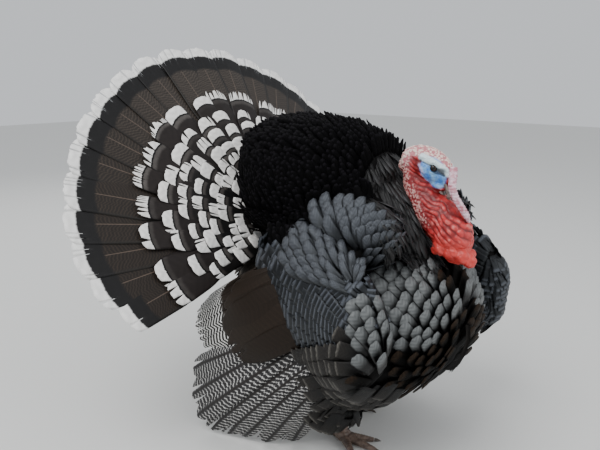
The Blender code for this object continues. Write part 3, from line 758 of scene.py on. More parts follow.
def skin_relief(point):
    """Height of the bare skin over the smooth shell, in metres, and its tones."""
    nape = nape_share(point)
    face = face_share(point)
    throat = (1.0 - face) * (1.0 - nape)
    lobes = fade(point.z, 0.4, 0.384)
    bead = warts(point, 0.0038)
    fine = warts(point + Vector((0.3, 0.1, 0.2)), 0.003)
    height = nape * (0.0017 * bead + 0.0006 * fine)
    height += throat * throat_relief(point) * (1.0 - 0.6 * lobes)
    height += lobes * 0.0026 * warts(point + Vector((0.004, 0.002, 0.0)), 0.0125)
    height += face * 0.0004 * fine
    brow = ridge_along(point, BROW, 0.0066, 0.0034)
    groove = ridge_along(point, BROW_GROOVE, 0.0024, 0.002)
    cheek = ridge_along(point, CHEEK_LINE, 0.0022, 0.0016)
    gape = ridge_along(point, GAPE, 0.0016, 0.0022)
    here = Vector((abs(point.x), point.y, point.z))
    ear = 0.003 * math.exp(-((here - EAR).length / 0.0034) ** 2)
    eye_gap = (here - eye_place(1)).length
    socket = 0.0022 * math.exp(-(eye_gap / (EYE_RADIUS * 1.25)) ** 2)
    lid = 0.0013 * math.exp(-((eye_gap - EYE_RADIUS * 1.45) / 0.0013) ** 2)
    height += brow - groove + cheek - gape - ear - socket + lid * face
    height += 0.0005 * noise.noise(point * 260.0)
    tones = (nape, face, max(bead * nape, 0.0))
    # The second mark is painted shade: brow groove, gape, ear and a spot round the eye.
    eye_shadow = math.exp(-(((point.y - EYE_SHADOW.y) / 0.012) ** 2 + ((point.z - EYE_SHADOW.z) / 0.006) ** 2))
    marks = (brow / 0.0034, groove / 0.002 + gape / 0.0022 + ear / 0.003 + 1.35 * eye_shadow,
             cheek / 0.0016)
    return height, tones, marks


def head_skin():
    neck = tube_shell([(0.0, *spot) for spot in NECK_LINE], NECK_SIZES)
    head = tube_shell([(0.0, *spot) for spot in HEAD_LINE], HEAD_SIZES)
    lobes = [ball_shell(*lobe) for lobe in LOBES]
    lobes.append(ball_shell((0.0, -0.262, 0.476), (0.0125, 0.015, 0.011)))
    item = joined_copy("head_skin", [neck, head, *lobes])
    fused(item, 0.0012, 5)
    mesh = item.data
    raised, tones, marks, folds = [], [], [], []
    for corner in mesh.vertices:
        height, tone, mark = skin_relief(corner.co)
        raised.append(corner.co + corner.normal * (height - 0.0004))
        tones.append(tone)
        marks.append(mark)
        folds.append(throat_relief(corner.co) / 0.0026)
    mesh.vertices.foreach_set("co", [x for point in raised for x in point])
    store(mesh, tones=tones, marks=marks)
    mesh.attributes.new("folds", "FLOAT", "POINT").data.foreach_set("value", folds)
    mesh.update()
    return item


# %% [markdown]
# ### The colours of the bare skin
# The relief stores where each point lies: nape, face and beads, then brow, grooves and cheek.
# The colour follows the same places, so the white beads are white on their tops only. The red
# folds get painted shade in their grooves and a painted highlight on their crests, and the
# grooves, the gape, the ear and a spot round the eye get painted shade.

# %% Skin colours
def skin_finish():
    material, tree, shader = new_finish("bare_skin", {"Roughness": 0.42})
    nape, blue_face, beads = parts_of(tree, attribute(tree, "tones"))
    brow, painted_shade, cheek = parts_of(tree, attribute(tree, "marks"))
    folds = attribute(tree, "folds", "Fac")
    place = add_node(tree, "ShaderNodeTexCoord").outputs["Object"]
    height = parts_of(tree, place)[2]
    patches = clouds(tree, place, 90.0, 3.0)

    # Painted shade and highlight: dark red in the grooves of the folds, pale on their crests.
    red = mix(tree, ramp(tree, folds, 0.1, 0.85), (0.15, 0.006, 0.007), (0.56, 0.036, 0.036))
    crest_highlight = times(tree, ramp(tree, folds, 0.45, 0.95), ramp(tree, patches, 0.45, 0.65))
    red = mix(tree, crest_highlight, red, (0.68, 0.16, 0.14))
    wattle = times(tree, ramp(tree, height, 0.405, 0.38), 0.8)
    red = mix(tree, wattle, red, (0.64, 0.05, 0.04))
    skull = ramp(tree, height, 0.492, 0.512)
    gaps = mix(tree, skull, (0.3, 0.035, 0.04), (0.56, 0.2, 0.22))
    tops = mix(tree, skull, (0.64, 0.34, 0.31), (0.86, 0.68, 0.6))
    neck = mix(tree, nape, red, mix(tree, ramp(tree, beads, 0.2, 0.7), gaps, tops))
    blue = mix(tree, ramp(tree, patches, 0.35, 0.65), (0.07, 0.25, 0.7), (0.27, 0.56, 0.92))
    face = mix(tree, blue_face, neck, blue)
    face = mix(tree, cheek, face, (0.56, 0.48, 0.7))
    face = mix(tree, ramp(tree, brow, 0.22, 0.62), face, (0.7, 0.84, 0.88))
    # Painted shade: near black in the brow groove, the gape, the ear and round the eye.
    dark = times(tree, ramp(tree, painted_shade, 0.35, 1.0), 0.85)
    face = mix(tree, dark, face, (0.01, 0.012, 0.026))
    wire(tree, face, shader.inputs["Base Color"])
    emboss(tree, shader, clouds(tree, place, 420.0, 2.0), 0.35, 0.0006)
    return material


def plain_finish(name, colour, roughness, specular=0.5):
    return new_finish(name, {"Base Color": colour, "Roughness": roughness,
                             "Specular IOR Level": specular})[0]


# The body skin is near black: painted shade in every gap between the feathers.
SHADE_UNDER_PLUME = plain_finish("under_plume", (0.0035, 0.0032, 0.0032), 0.8, 0.1)
BARE_SKIN = skin_finish()


# %% One skin piece
def whole_skin():
    """Body and head in one mesh, each with its own finish."""
    whole = bmesh.new()
    mesh = bpy.data.meshes.new("skin")
    for number, (part, finish) in enumerate(((body_skin(), SHADE_UNDER_PLUME), (head_skin(), BARE_SKIN))):
        count = len(whole.faces)
        whole.from_mesh(part.data)
        whole.faces.ensure_lookup_table()
        for face in whole.faces[count:]:
            face.material_index = number
        mesh.materials.append(finish)
        bpy.data.objects.remove(part)
    whole.to_mesh(mesh)
    whole.free()
    mesh.shade_smooth()
    return add_object("skin", mesh)


SKIN = whole_skin()
print("skin faces", len(SKIN.data.polygons))


# %% [markdown]
# ### Eyes, lids, bill and snood
# The eye is a ball with a brown iris and a black pupil that look out sideways. Its lids are
# the soft rim that the skin's relief raises round it. Bill and snood are the solids refined:
# fused, smoothed and given their own fine relief, the grain of horn and the creases of a limp
# fold of skin.

# %% Eyes
def eye_finish():
    material, tree, shader = new_finish("eye_gloss", {
        "Roughness": 0.12, "Specular IOR Level": 0.25, "Coat Weight": 0.25,
        "Coat Roughness": 0.04})
    gap = attribute(tree, "gaze", "Fac")
    iris = mix(tree, ramp(tree, gap, 0.55, 0.8), (0.035, 0.018, 0.01), (0.008, 0.006, 0.006))
    colour = mix(tree, ramp(tree, gap, 0.54, 0.46), iris, (0.002, 0.002, 0.002))
    wire(tree, colour, shader.inputs["Base Color"])
    return material


EYE_FINISH = eye_finish()


def eyeball(side, word):
    """A ball whose attribute gaze is the sine of the angle from where the eye looks."""
    look = Vector((side * 0.93, -0.36, 0.05)).normalized()
    ball = bmesh.new()
    bmesh.ops.create_uvsphere(ball, u_segments=32, v_segments=20, radius=EYE_RADIUS - 0.0001)
    mesh = bpy.data.meshes.new("eyeball_" + word)
    ball.to_mesh(mesh)
    ball.free()
    gaze = []
    for corner in mesh.vertices:
        out = corner.co.normalized()
        along = out.dot(look)
        gaze.append((out - look * along).length if along > 0.0 else 1.0)
        corner.co += eye_place(side)
    mesh.attributes.new("gaze", "FLOAT", "POINT").data.foreach_set("value", gaze)
    mesh.materials.append(EYE_FINISH)
    mesh.shade_smooth()
    return add_object("eyeball_" + word, mesh)


EYEBALLS = [eyeball(side, word) for side, word in BOTH]


# %% Refined solids
def refined(name, node, voxel, smoothing, relief, finish, growth=0.0):
    """A solid melted into one smooth piece, with a relief given as a function of place."""
    item = joined_copy(name, [grown_node(node, growth)])
    item.data.materials.append(finish)
    fused(item, voxel, smoothing)
    mesh = item.data
    moved = [corner.co + corner.normal * relief(corner.co) for corner in mesh.vertices]
    mesh.vertices.foreach_set("co", [x for point in moved for x in point])
    mesh.update()
    mesh.shade_smooth()
    return item


def horn_finish(name, dark, light, roughness, scale):
    """Horn or scale: streaks of two tones, with a waxy gloss."""
    material, tree, shader = new_finish(name, {"Roughness": roughness})
    cloud = clouds(tree, add_node(tree, "ShaderNodeTexCoord").outputs["Object"], scale, 4.0)
    wire(tree, mix(tree, ramp(tree, cloud, 0.35, 0.65), dark, light), shader.inputs["Base Color"])
    emboss(tree, shader, cloud, 0.3, 0.0008)
    return material


BILL_FINISH = horn_finish("bill_horn", (0.13, 0.105, 0.095), (0.3, 0.25, 0.23), 0.35, 160.0)
SNOOD_FINISH = horn_finish("snood_skin", (0.52, 0.19, 0.24), (0.78, 0.58, 0.66), 0.42, 130.0)
LEG_FINISH = horn_finish("leg_scales", (0.085, 0.056, 0.044), (0.19, 0.135, 0.105), 0.45, 120.0)
CLAW_FINISH = horn_finish("claw_horn", (0.05, 0.04, 0.035), (0.13, 0.105, 0.09), 0.35, 200.0)


def horn_relief(point):
    return 0.0001 * noise.noise(point * 500.0)


def snood_relief(point):
    """Rings of loose skin, closer than a finger's."""
    ring = abs(math.sin(math.pi * (point.z + 0.003 * noise.noise(point * 60.0)) / 0.0048))
    return 0.0008 * ring - 0.0006 + 0.0004 * noise.noise(point * 200.0)


BILL_PIECES = [refined("upper_bill", "bill_upper", 0.0006, 8, horn_relief, BILL_FINISH),
               refined("lower_bill", "bill_lower", 0.0006, 6, horn_relief, BILL_FINISH)]
SNOOD_PIECE = refined("limp_snood", "snood", 0.0008, 12, snood_relief, SNOOD_FINISH, 0.0005)
print("bill and snood:", [len(item.data.polygons) for item in (*BILL_PIECES, SNOOD_PIECE)])

# %% [markdown]
# ## One feather
# Small feathers repeat by the thousand, so a few of them are made once, at unit size, and
# set out by Geometry Nodes. Each is a thin closed sheet: arched across, bent down towards the
# tip, with a few slits where its barbs have parted. The same sheet builder later makes the
# long quills, which follow their own curves and are not copies.

# %% Feather sheets
SLIT_HALF = 0.01             # half a slit's width, as a share of half the vane
SHAFT_HALF = 0.06            # half the shaft's width, in the same measure


def place_columns(columns, slits, shaft):
    """Positions across a vane from -1 to 1, and which gaps between them are slits."""
    marks = [(2.0 * i / columns - 1.0, False) for i in range(columns + 1)]
    if shaft:
        marks = [m for m in marks if abs(m[0]) > 2.0 * SHAFT_HALF]
        marks += [(-SHAFT_HALF, False), (0.0, False), (SHAFT_HALF, False)]
    for slit in slits:
        marks = [m for m in marks if abs(m[0] - slit) > 3.0 * SLIT_HALF]
        marks += [(slit - SLIT_HALF, True), (slit + SLIT_HALF, False)]
    marks.sort()
    return [m[0] for m in marks], [m[1] for m in marks]


def apart(slits):
    """Slits that keep their distance from each other and from the shaft."""
    kept = []
    for slit in sorted(slits):
        if abs(slit) > 0.14 and (not kept or slit - kept[-1] > 0.09):
            kept.append(slit)
    return kept


def ribbon_middle(u, slits):
    """The middle of the ribbon of vane that u lies on, between two slits."""
    left = max([s for s in slits if s <= u], default=-1.0)
    right = min([s for s in slits if s > u], default=1.0)
    return (left + right) / 2.0


class Sheets:
    """Collects the points, faces and attributes of many feather sheets."""

    def __init__(self):
        self.points, self.faces = [], []
        self.vane, self.shade, self.patch = [], [], []

    def add(self, surface, columns, rows, slits=(), open_from=0.8, reach=None,
            shade=(0.5, 1.0, 0.0), patch=(0.0, 0.0, 1.0, 1.0), closing=1.0, narrow=0.3,
            shaft=False):
        """One sheet. surface(u, v) gives its points, and reach(u) how far v runs at u."""
        slits = apart(slits)
        across, gaps = place_columns(columns, slits, shaft)
        middles = [ribbon_middle(u, slits) for u in across]
        first = len(self.points)
        wide = len(across)
        for i in range(rows + 1):
            v = (i / rows) ** closing
            parting = narrow * max(v - open_from, 0.0) / (1.0 - open_from) if slits else 0.0
            for u, middle in zip(across, middles):
                end = reach(u) if reach else 1.0
                drawn = u + (middle - u) * parting
                self.points.append(surface(drawn, v * end))
                self.vane.append((u, v * end, 0.0))
                self.shade.append(shade)
                self.patch.append((patch[0] + (patch[2] - patch[0]) * (0.05 + 0.45 * (u + 1.0)),
                                   patch[1] + (patch[3] - patch[1]) * (0.05 + 0.9 * v * end)))
        for i in range(rows):
            parted = ((i + 0.5) / rows) ** closing > open_from
            for j in range(wide - 1):
                if gaps[j] and parted:
                    continue
                a = first + i * wide + j
                self.faces.append((a, a + 1, a + wide + 1, a + wide))

    def build(self, name, finish, thickness):
        """A mesh object of all the sheets, thickened into closed thin solids."""
        mesh = bpy.data.meshes.new(name)
        mesh.from_pydata(self.points, [], self.faces)
        store(mesh, vane=self.vane, shade=self.shade)
        chart_points(mesh, self.patch)
        mesh.materials.append(finish)
        mesh.shade_smooth()
        item = add_object(name, mesh)
        wall = item.modifiers.new("thickness", "SOLIDIFY")
        wall.thickness = thickness
        wall.offset = 0.0
        return settle(item)


def ragged(rag, roundness, power):
    """How far a vane runs at each u: blunt in the middle, cut back at its edges, and torn."""
    spots = len(rag) / 2.0 - 0.01
    return lambda u: 1.0 - roundness * abs(u) ** power - rag[int((u + 1.0) * spots)]


# %% Unit feathers
def unit_feather(kind, roundness, power, root_width, arch, bend, slit_count, columns, rows,
                 curve, curl, seed):
    """A feather one unit long and wide.

    arch bows it across, bend curls its tip down, the more suddenly the greater curl is, and
    curve sweeps it to one side."""
    draw = random.Random(seed)
    slits = [draw.uniform(-0.8, 0.8) for _ in range(slit_count)]
    reach = ragged([draw.uniform(0.0, 0.05) for _ in range(9)], roundness, power)

    def surface(u, v):
        fill = min(v / 0.45, 1.0)
        full = root_width + (1.0 - root_width) * (fill * (2.0 - fill))
        return Vector((0.5 * u * full + curve * v * v, v,
                       arch * (1.0 - u * u) * fill - bend * v ** curl))

    sheets = Sheets()
    sheets.add(surface, columns, rows, slits, 0.72, reach)
    return sheets.build("unit_%s_%d" % (kind, seed), None, 0.01)


def feather_kind(kind, count, *shape):
    """A hidden collection of unit feathers that differ in their slits and edges."""
    group = bpy.data.collections.new(kind)
    for seed in range(count):
        item = unit_feather(kind, *shape, seed)
        bpy.context.scene.collection.objects.unlink(item)
        group.objects.link(item)
    return group


SCALE = feather_kind("scale", 4, 0.12, 3.2, 0.75, 0.03, 0.07, 0, 5, 4, 0.0, 4.0)
NARROW = feather_kind("narrow", 4, 0.4, 2.2, 0.5, 0.06, 0.12, 0, 3, 5, 0.0, 3.0)
LOOSE = feather_kind("loose", 4, 0.3, 2.6, 0.5, 0.08, 0.12, 2, 5, 4, 0.0, 3.0)
PLUSH = feather_kind("plush", 4, 0.14, 3.0, 0.6, 0.06, 0.05, 0, 3, 3, 0.0, 3.0)
CRESCENT = feather_kind("crescent", 4, 0.05, 3.4, 0.9, 0.004, 0.085, 0, 4, 5, 0.0, 5.0)
LONG = {way: feather_kind("long_" + word, 4, 0.1, 3.0, 0.6, 0.05, 0.08, 0, 5, 7, -0.55 * way,
                          5.0) for way, word in BOTH}

# %% [markdown]
# ## The plumage tree
# One Geometry Nodes tree sets the feathers out. Its input is a mesh of loose points, the
# roots, each with a turn, a size, three tones, the number of the unit feather it takes, and
# its place on the unwrapped skin. The tree puts a feather on each root, makes the copies real,
# and writes the bake chart: each feather gets a tiny patch at its own root's place.

# %% The tree that sets out feathers
BAKE_PATCH = 0.003


def build_plumage_tree():
    tree = bpy.data.node_groups.new("plumage", "GeometryNodeTree")
    for word, kind in (("Roots", "Geometry"), ("Feathers", "Collection"), ("Patch", "Float"),
                       ("Finish", "Material")):
        tree.interface.new_socket(word, in_out="INPUT", socket_type="NodeSocket" + kind)
    tree.interface.new_socket("Plumage", in_out="OUTPUT", socket_type="NodeSocketGeometry")
    start = tree.nodes.new("NodeGroupInput")
    end = tree.nodes.new("NodeGroupOutput")

    given = start.outputs

    def named(word, kind="FLOAT_VECTOR"):
        return add_node(tree, "GeometryNodeInputNamedAttribute", {"Name": word},
                        data_type=kind).outputs["Attribute"]

    models = add_node(tree, "GeometryNodeCollectionInfo", {
        "Collection": given["Feathers"], "Separate Children": True, "Reset Children": True})
    turn = add_node(tree, "FunctionNodeEulerToRotation", {0: named("turn")})
    copies = add_node(tree, "GeometryNodeInstanceOnPoints", {
        "Points": given["Roots"], "Instance": models.outputs["Instances"],
        "Instance Index": named("kind", "INT"), "Rotation": turn.outputs[0],
        "Scale": named("size"), "Pick Instance": True})
    real = add_node(tree, "GeometryNodeRealizeInstances", {"Geometry": copies.outputs[0]})
    spread = add_node(tree, "ShaderNodeVectorMath", {0: named("vane"), "Scale": given["Patch"]},
                      operation="SCALE")
    chart = add_node(tree, "ShaderNodeVectorMath", {0: named("chart"), 1: spread.outputs[0]},
                     operation="ADD")
    store_chart = add_node(tree, "GeometryNodeStoreNamedAttribute", {
        "Geometry": real.outputs[0], "Name": "OFBake", "Value": chart.outputs[0]},
        data_type="FLOAT2", domain="CORNER")
    dress = add_node(tree, "GeometryNodeSetMaterial", {
        "Geometry": store_chart.outputs[0], "Material": given["Finish"]})
    wire(tree, dress.outputs[0], end.inputs[0])
    return tree


PLUMAGE = build_plumage_tree()


def spread_chart(spots):
    """Stretch a tract's places on the chart until they fill it from edge to edge."""
    spans = []
    for axis in (0, 1):
        values = [spot[axis] for spot in spots]
        spans.append((min(values), max(max(values) - min(values), 1e-6)))
    return [tuple(0.02 + 0.95 * (spot[axis] - spans[axis][0]) / spans[axis][1]
                  for axis in (0, 1)) + (0.0,) for spot in spots]


class Tract:
    """Roots of one feather tract, laid on the body before the tree dresses them."""

    def __init__(self, seed):
        self.draw = random.Random(seed)
        self.rows = {"points": [], "turn": [], "size": [], "shade": [], "chart": [], "kind": []}

    def plant(self, ground, lie, length, width, lift, sink, shade, chart, swing=6.0,
              uneven=0.08, bank=0.0):
        """One root: ground is (point, normal), lie the way the feather points.

        bank raises one edge of the feather over its neighbour, like a tile."""
        point, normal = ground
        roll = math.radians(self.draw.gauss(0.0, swing))
        along = (lie - normal * lie.dot(normal)).normalized()
        along = Matrix.Rotation(roll, 3, normal) @ along
        rise = math.radians(lift + self.draw.gauss(0.0, 18.0 * uneven))
        tip = along * math.cos(rise) + normal * math.sin(rise)
        out = normal * math.cos(rise) - along * math.sin(rise)
        frame3 = Matrix((tip.cross(out), tip, out)).transposed()
        frame3 = frame3 @ Matrix.Rotation(math.radians(-bank), 3, "Y")
        grow = self.draw.uniform(1.0 - uneven, 1.0 + uneven)
        rows = self.rows
        rows["points"].append(point - normal * sink)
        rows["turn"].append(tuple(frame3.to_euler()))
        rows["size"].append((width * self.draw.uniform(0.93, 1.07), length * grow, length))
        rows["shade"].append((self.draw.random(), shade[0], shade[1]))
        rows["chart"].append((chart[0], chart[1], 0.0))
        rows["kind"].append(self.draw.randrange(4))

    def dress(self, name, feathers, finish):
        """Run the plumage tree on the roots and keep its result as a plain mesh."""
        rows = self.rows
        rows["chart"] = spread_chart(rows["chart"])
        mesh = bpy.data.meshes.new(name)
        mesh.from_pydata(rows["points"], [], [])
        store(mesh, **{word: rows[word] for word in ("turn", "size", "shade", "chart")})
        mesh.attributes.new("kind", "INT", "POINT").data.foreach_set("value", rows["kind"])
        item = add_object(name, mesh)
        step = item.modifiers.new("plumage", "NODES")
        step.node_group = PLUMAGE
        values = {"Feathers": feathers, "Patch": BAKE_PATCH, "Finish": finish}
        for socket in PLUMAGE.interface.items_tree:
            if socket.name in values:
                step[socket.identifier] = values[socket.name]
        settle(item)
        for word in ("turn", "size", "chart", "kind"):
            if word in item.data.attributes:
                item.data.attributes.remove(item.data.attributes[word])
        item.data.shade_smooth()
        print(name, "feathers", len(rows["points"]), "faces", len(item.data.polygons))
        return item


# %% [markdown]
# ## Where feathers grow
# Roots come from rays shot at the solids. Round a body they lie in rings, like the courses of
# a brick tower: each ring holds as many feathers as its girth asks for, and every second ring
# is shifted by half a feather, so the plumage has no seams and no poles.

# %% Rays and rings
def ground_of(*names):
    """A search tree over some of the solids."""
    return BVHTree.FromPolygons(*joined_points([grown_node(name) for name in names]))


def strike(ground, origin, direction, far=0.7):
    """Where a solid's outermost face lies from an inner point, with its normal, or None."""
    point, normal, _, _ = ground.ray_cast(origin + direction * far, -direction)
    if point is None:
        return None
    return point, normal if normal.dot(direction) > 0.0 else -normal


def inside(ground, point):
    """Whether a closed solid holds a point: a ray out of it meets an odd number of faces."""
    away = Vector((0.13, 0.21, 0.97)).normalized()
    crossings = 0
    spot, _, _, _ = ground.ray_cast(point, away)
    while spot is not None and crossings < 24:
        crossings += 1
        spot, _, _, _ = ground.ray_cast(spot + away * 0.00001, away)
    return crossings % 2 == 1


def buried(grounds, point, depth):
    """Whether a point lies deeper than that inside one of the solids."""
    for ground in grounds:
        _, _, _, distance = ground.find_nearest(point)
        if distance > depth and inside(ground, point):
            return True
    return False


def rings(ground, start, end, spacing, pitch, back_cap=90.0):
    """Roots round an axis from start to end, with a rounded cap at each end.

    Yields the ring's share of the way, the root's share round it, and the place it struck."""
    axis = (end - start).normalized()
    side = Vector((1.0, 0.0, 0.0))
    top = side.cross(axis)
    if top.z < 0.0:
        top = -top

    def struck(origin, turn, cap):
        ray = (side * math.cos(turn) + top * math.sin(turn)) * math.cos(cap)
        return strike(ground, origin, ray + axis * math.sin(cap))

    def cap_steps(centre, cap, way):
        """How many rings a cap of some degrees takes."""
        found = strike(ground, centre, axis * way)
        radius = (found[0] - centre).length if found else 0.12
        return max(int(math.radians(cap) * radius / spacing), 1)

    steps = cap_steps(start, 90.0, -1.0)
    stops = [(start, -math.radians(90.0) * (1.0 - i / steps)) for i in range(steps)]
    steps = max(int((end - start).length / spacing), 1)
    stops += [(start.lerp(end, i / steps), 0.0) for i in range(steps + 1)]
    steps = cap_steps(end, back_cap, 1.0)
    stops += [(end, math.radians(back_cap) * i / steps) for i in range(1, steps + 1)]
    for number, (origin, cap) in enumerate(stops):
        marks = [struck(origin, 2.0 * math.pi * i / 32, cap) for i in range(33)]
        lengths = [0.0]
        for a, b in zip(marks, marks[1:]):
            lengths.append(lengths[-1] + ((b[0] - a[0]).length if a and b else pitch / 2))
        count = max(int(round(lengths[-1] / pitch)), 1)
        for i in range(count):
            target = lengths[-1] * ((i + 0.5 * (number % 2)) / count)
            k = max(j for j in range(32) if lengths[j] <= target + 1e-9)
            part = (target - lengths[k]) / max(lengths[k + 1] - lengths[k], 1e-9)
            turn = 2.0 * math.pi * (k + part) / 32
            found = struck(origin, turn, cap)
            if found is not None:
                yield number / (len(stops) - 1), turn / (2.0 * math.pi), found


def scatter(names, spacing, seed, hidden, depth, keep=lambda point, normal: True):
    """Roots spread evenly but without rows over the faces of some solids.

    Those deeper than depth inside one of the hidden solids are left out.
    Yields a place on the body's chart, and the root's point and normal."""
    draw = random.Random(seed)
    cells = {}
    for name in names:
        mesh = NODES[name].data
        mesh.calc_loop_triangles()
        for triangle in mesh.loop_triangles:
            a, b, c = (mesh.vertices[i].co for i in triangle.vertices)
            tries = 3.5 * triangle.area / spacing ** 2
            for _ in range(int(tries + draw.random())):
                s, t = draw.random(), draw.random()
                if s + t > 1.0:
                    s, t = 1.0 - s, 1.0 - t
                point = a + (b - a) * s + (c - a) * t
                if not keep(point, triangle.normal):
                    continue
                cell = tuple(int(math.floor(value / spacing)) for value in point)
                near = [spot for i in (-1, 0, 1) for j in (-1, 0, 1) for k in (-1, 0, 1)
                        for spot in cells.get((cell[0] + i, cell[1] + j, cell[2] + k), ())]
                if any((point - spot).length < 0.8 * spacing for spot in near):
                    continue
                cells.setdefault(cell, []).append(point)
                turn = math.atan2(point.x, point.z - 0.28) / (2.0 * math.pi) + 0.5
                if not buried(hidden, point, depth):
                    yield (point.y, turn), (point, triangle.normal.copy())


SOLID_GROUND = {name: ground_of(name) for name in (*BODY_FLESH, "neck", "head", "wattle")}
print("grounds:", sorted(SOLID_GROUND))


def smoothed(ground, point, normal, reach=0.02):
    """The mean normal of the faces round a point that look its way."""
    total = normal * 0.5
    for _, other, _, distance in ground.find_nearest_range(point, reach):
        if other.dot(normal) > 0.3:
            total += other * (1.0 - distance / reach)
    return total.normalized()


def others(*names):
    return [SOLID_GROUND[name] for name in SOLID_GROUND if name not in names]


def centre_of(node, share):
    """A point inside a node's box, at a share of each of its sides."""
    low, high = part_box(node)
    return Vector([a + (b - a) * s for a, b, s in zip(low, high, share)])


# %% Fans of feathers on the side of the body
def side_fan(grounds, side, corner, reaches, turns, pitch, stretch=lambda turn: 1.0):
    """Roots on arcs round a corner in the side view. Yields radius, turn, chart, place.

    stretch draws the arcs in or out by their turn."""
    for number, radius in enumerate(reaches):
        first, last = (math.radians(turn) for turn in turns)
        count = max(int(round(abs(last - first) * radius / pitch(radius))), 1)
        for i in range(count + 1):
            share = (i + 0.5 * (number % 2)) / count
            if share > 1.0:
                continue
            turn = first + (last - first) * share
            away = radius * stretch(turn)
            origin = Vector((0.0, corner[0] + away * math.cos(turn),
                             corner[1] + away * math.sin(turn)))
            ray = Vector((side, 0.0, 0.0))
            hits = [(strike(ground, origin, ray), ground) for ground in grounds]
            hits = [(found, ground) for found, ground in hits if found]
            if hits:
                (point, normal), ground = max(hits, key=lambda hit: abs(hit[0][0].x))
                place = point, smoothed(ground, point, normal)
                yield radius, turn, (number / (len(reaches) - 1), share), place


def steps_of(first, last, gap_first, gap_last):
    """Radii from first to last whose gaps grow from gap_first to gap_last."""
    radii = [first]
    while radii[-1] < last:
        share = (radii[-1] - first) / (last - first)
        radii.append(radii[-1] + gap_first + (gap_last - gap_first) * share)
    return radii


# %% [markdown]
# ## Breast, belly and flanks
# A displaying tom lifts his breast feathers: their tips point up and back, and each stands a
# little off the next, with a dark gap between. Further down they lie flat and point straight
# back, and beside the legs they grow long and brown.

# %% Trunk feathers
TRUNK_STEP = 0.0165
TRUNK_PITCH = 0.0195


def trunk_lie(point):
    """Up, back and outwards on the breast; straight back on the belly and the rump."""
    side = side_of(point)
    front = fade(point.y, 0.02, -0.22)
    high = fade(point.z, 0.08, 0.24)
    return Vector((0.45 * side * front * high, 1.0 - 0.35 * front * high,
                   0.85 * front * high - 0.12 * (1.0 - front)))


WING_EDGE = ((-0.29, 0.35), (-0.278, 0.335), (-0.27, 0.292), (-0.25, 0.268),
             (-0.21, 0.253), (-0.15, 0.235))       # y and z of the folded wing's lower edge
TIP_ROOM = 0.028                             # breast tips reach this far beyond their roots
FLANK_END = -0.168                           # flank roots before this y lie over the quills
FLANK_STAND = 0.055                          # the most that a flank feather's tip stands off
FLANK_LENGTH = 0.046
FLANK_CORNER = (-0.335, 0.24)                # y and z that the arcs of the flank go round
FLANK_FRONT = ((0.1, -0.262), (0.19, -0.278), (0.247, -0.282), (0.3, -0.262),
               (0.35, -0.2))                 # z and y where the flank meets the breast


def wing_edge(y):
    """Height of the wing's lower edge at a distance along the body."""
    return level(WING_EDGE, y)


def on_flank(point):
    """Whether a place on the side lies behind the breast and below the wing."""
    return point.y > level(FLANK_FRONT, point.z)


def body_shade(point, front, low):
    """Tone and brownness of a body feather, mottled over the body.

    The tone is painted light and shade: it rises with height and towards the sides of the
    breast, where the light falls, and drops low on the body, where shade falls.
    """
    cloud = noise.noise(point * 14.0) + 0.6 * noise.noise(point * 60.0)
    grey = fade(point.z, 0.245, 0.335) * fade(abs(point.x), 0.06, 0.15) * front
    middle = fade(point.z, 0.175, 0.28) * (0.3 + 0.7 * fade(abs(point.x), 0.0, 0.13)) * front
    brown = 1.15 - 1.15 * grey + 0.5 * cloud
    bright = 0.06 - 0.04 * low + 0.42 * middle + 0.52 * grey + 0.25 * cloud * middle
    return min(max(bright, 0.0), 1.0), min(max(brown, 0.0), 1.0)


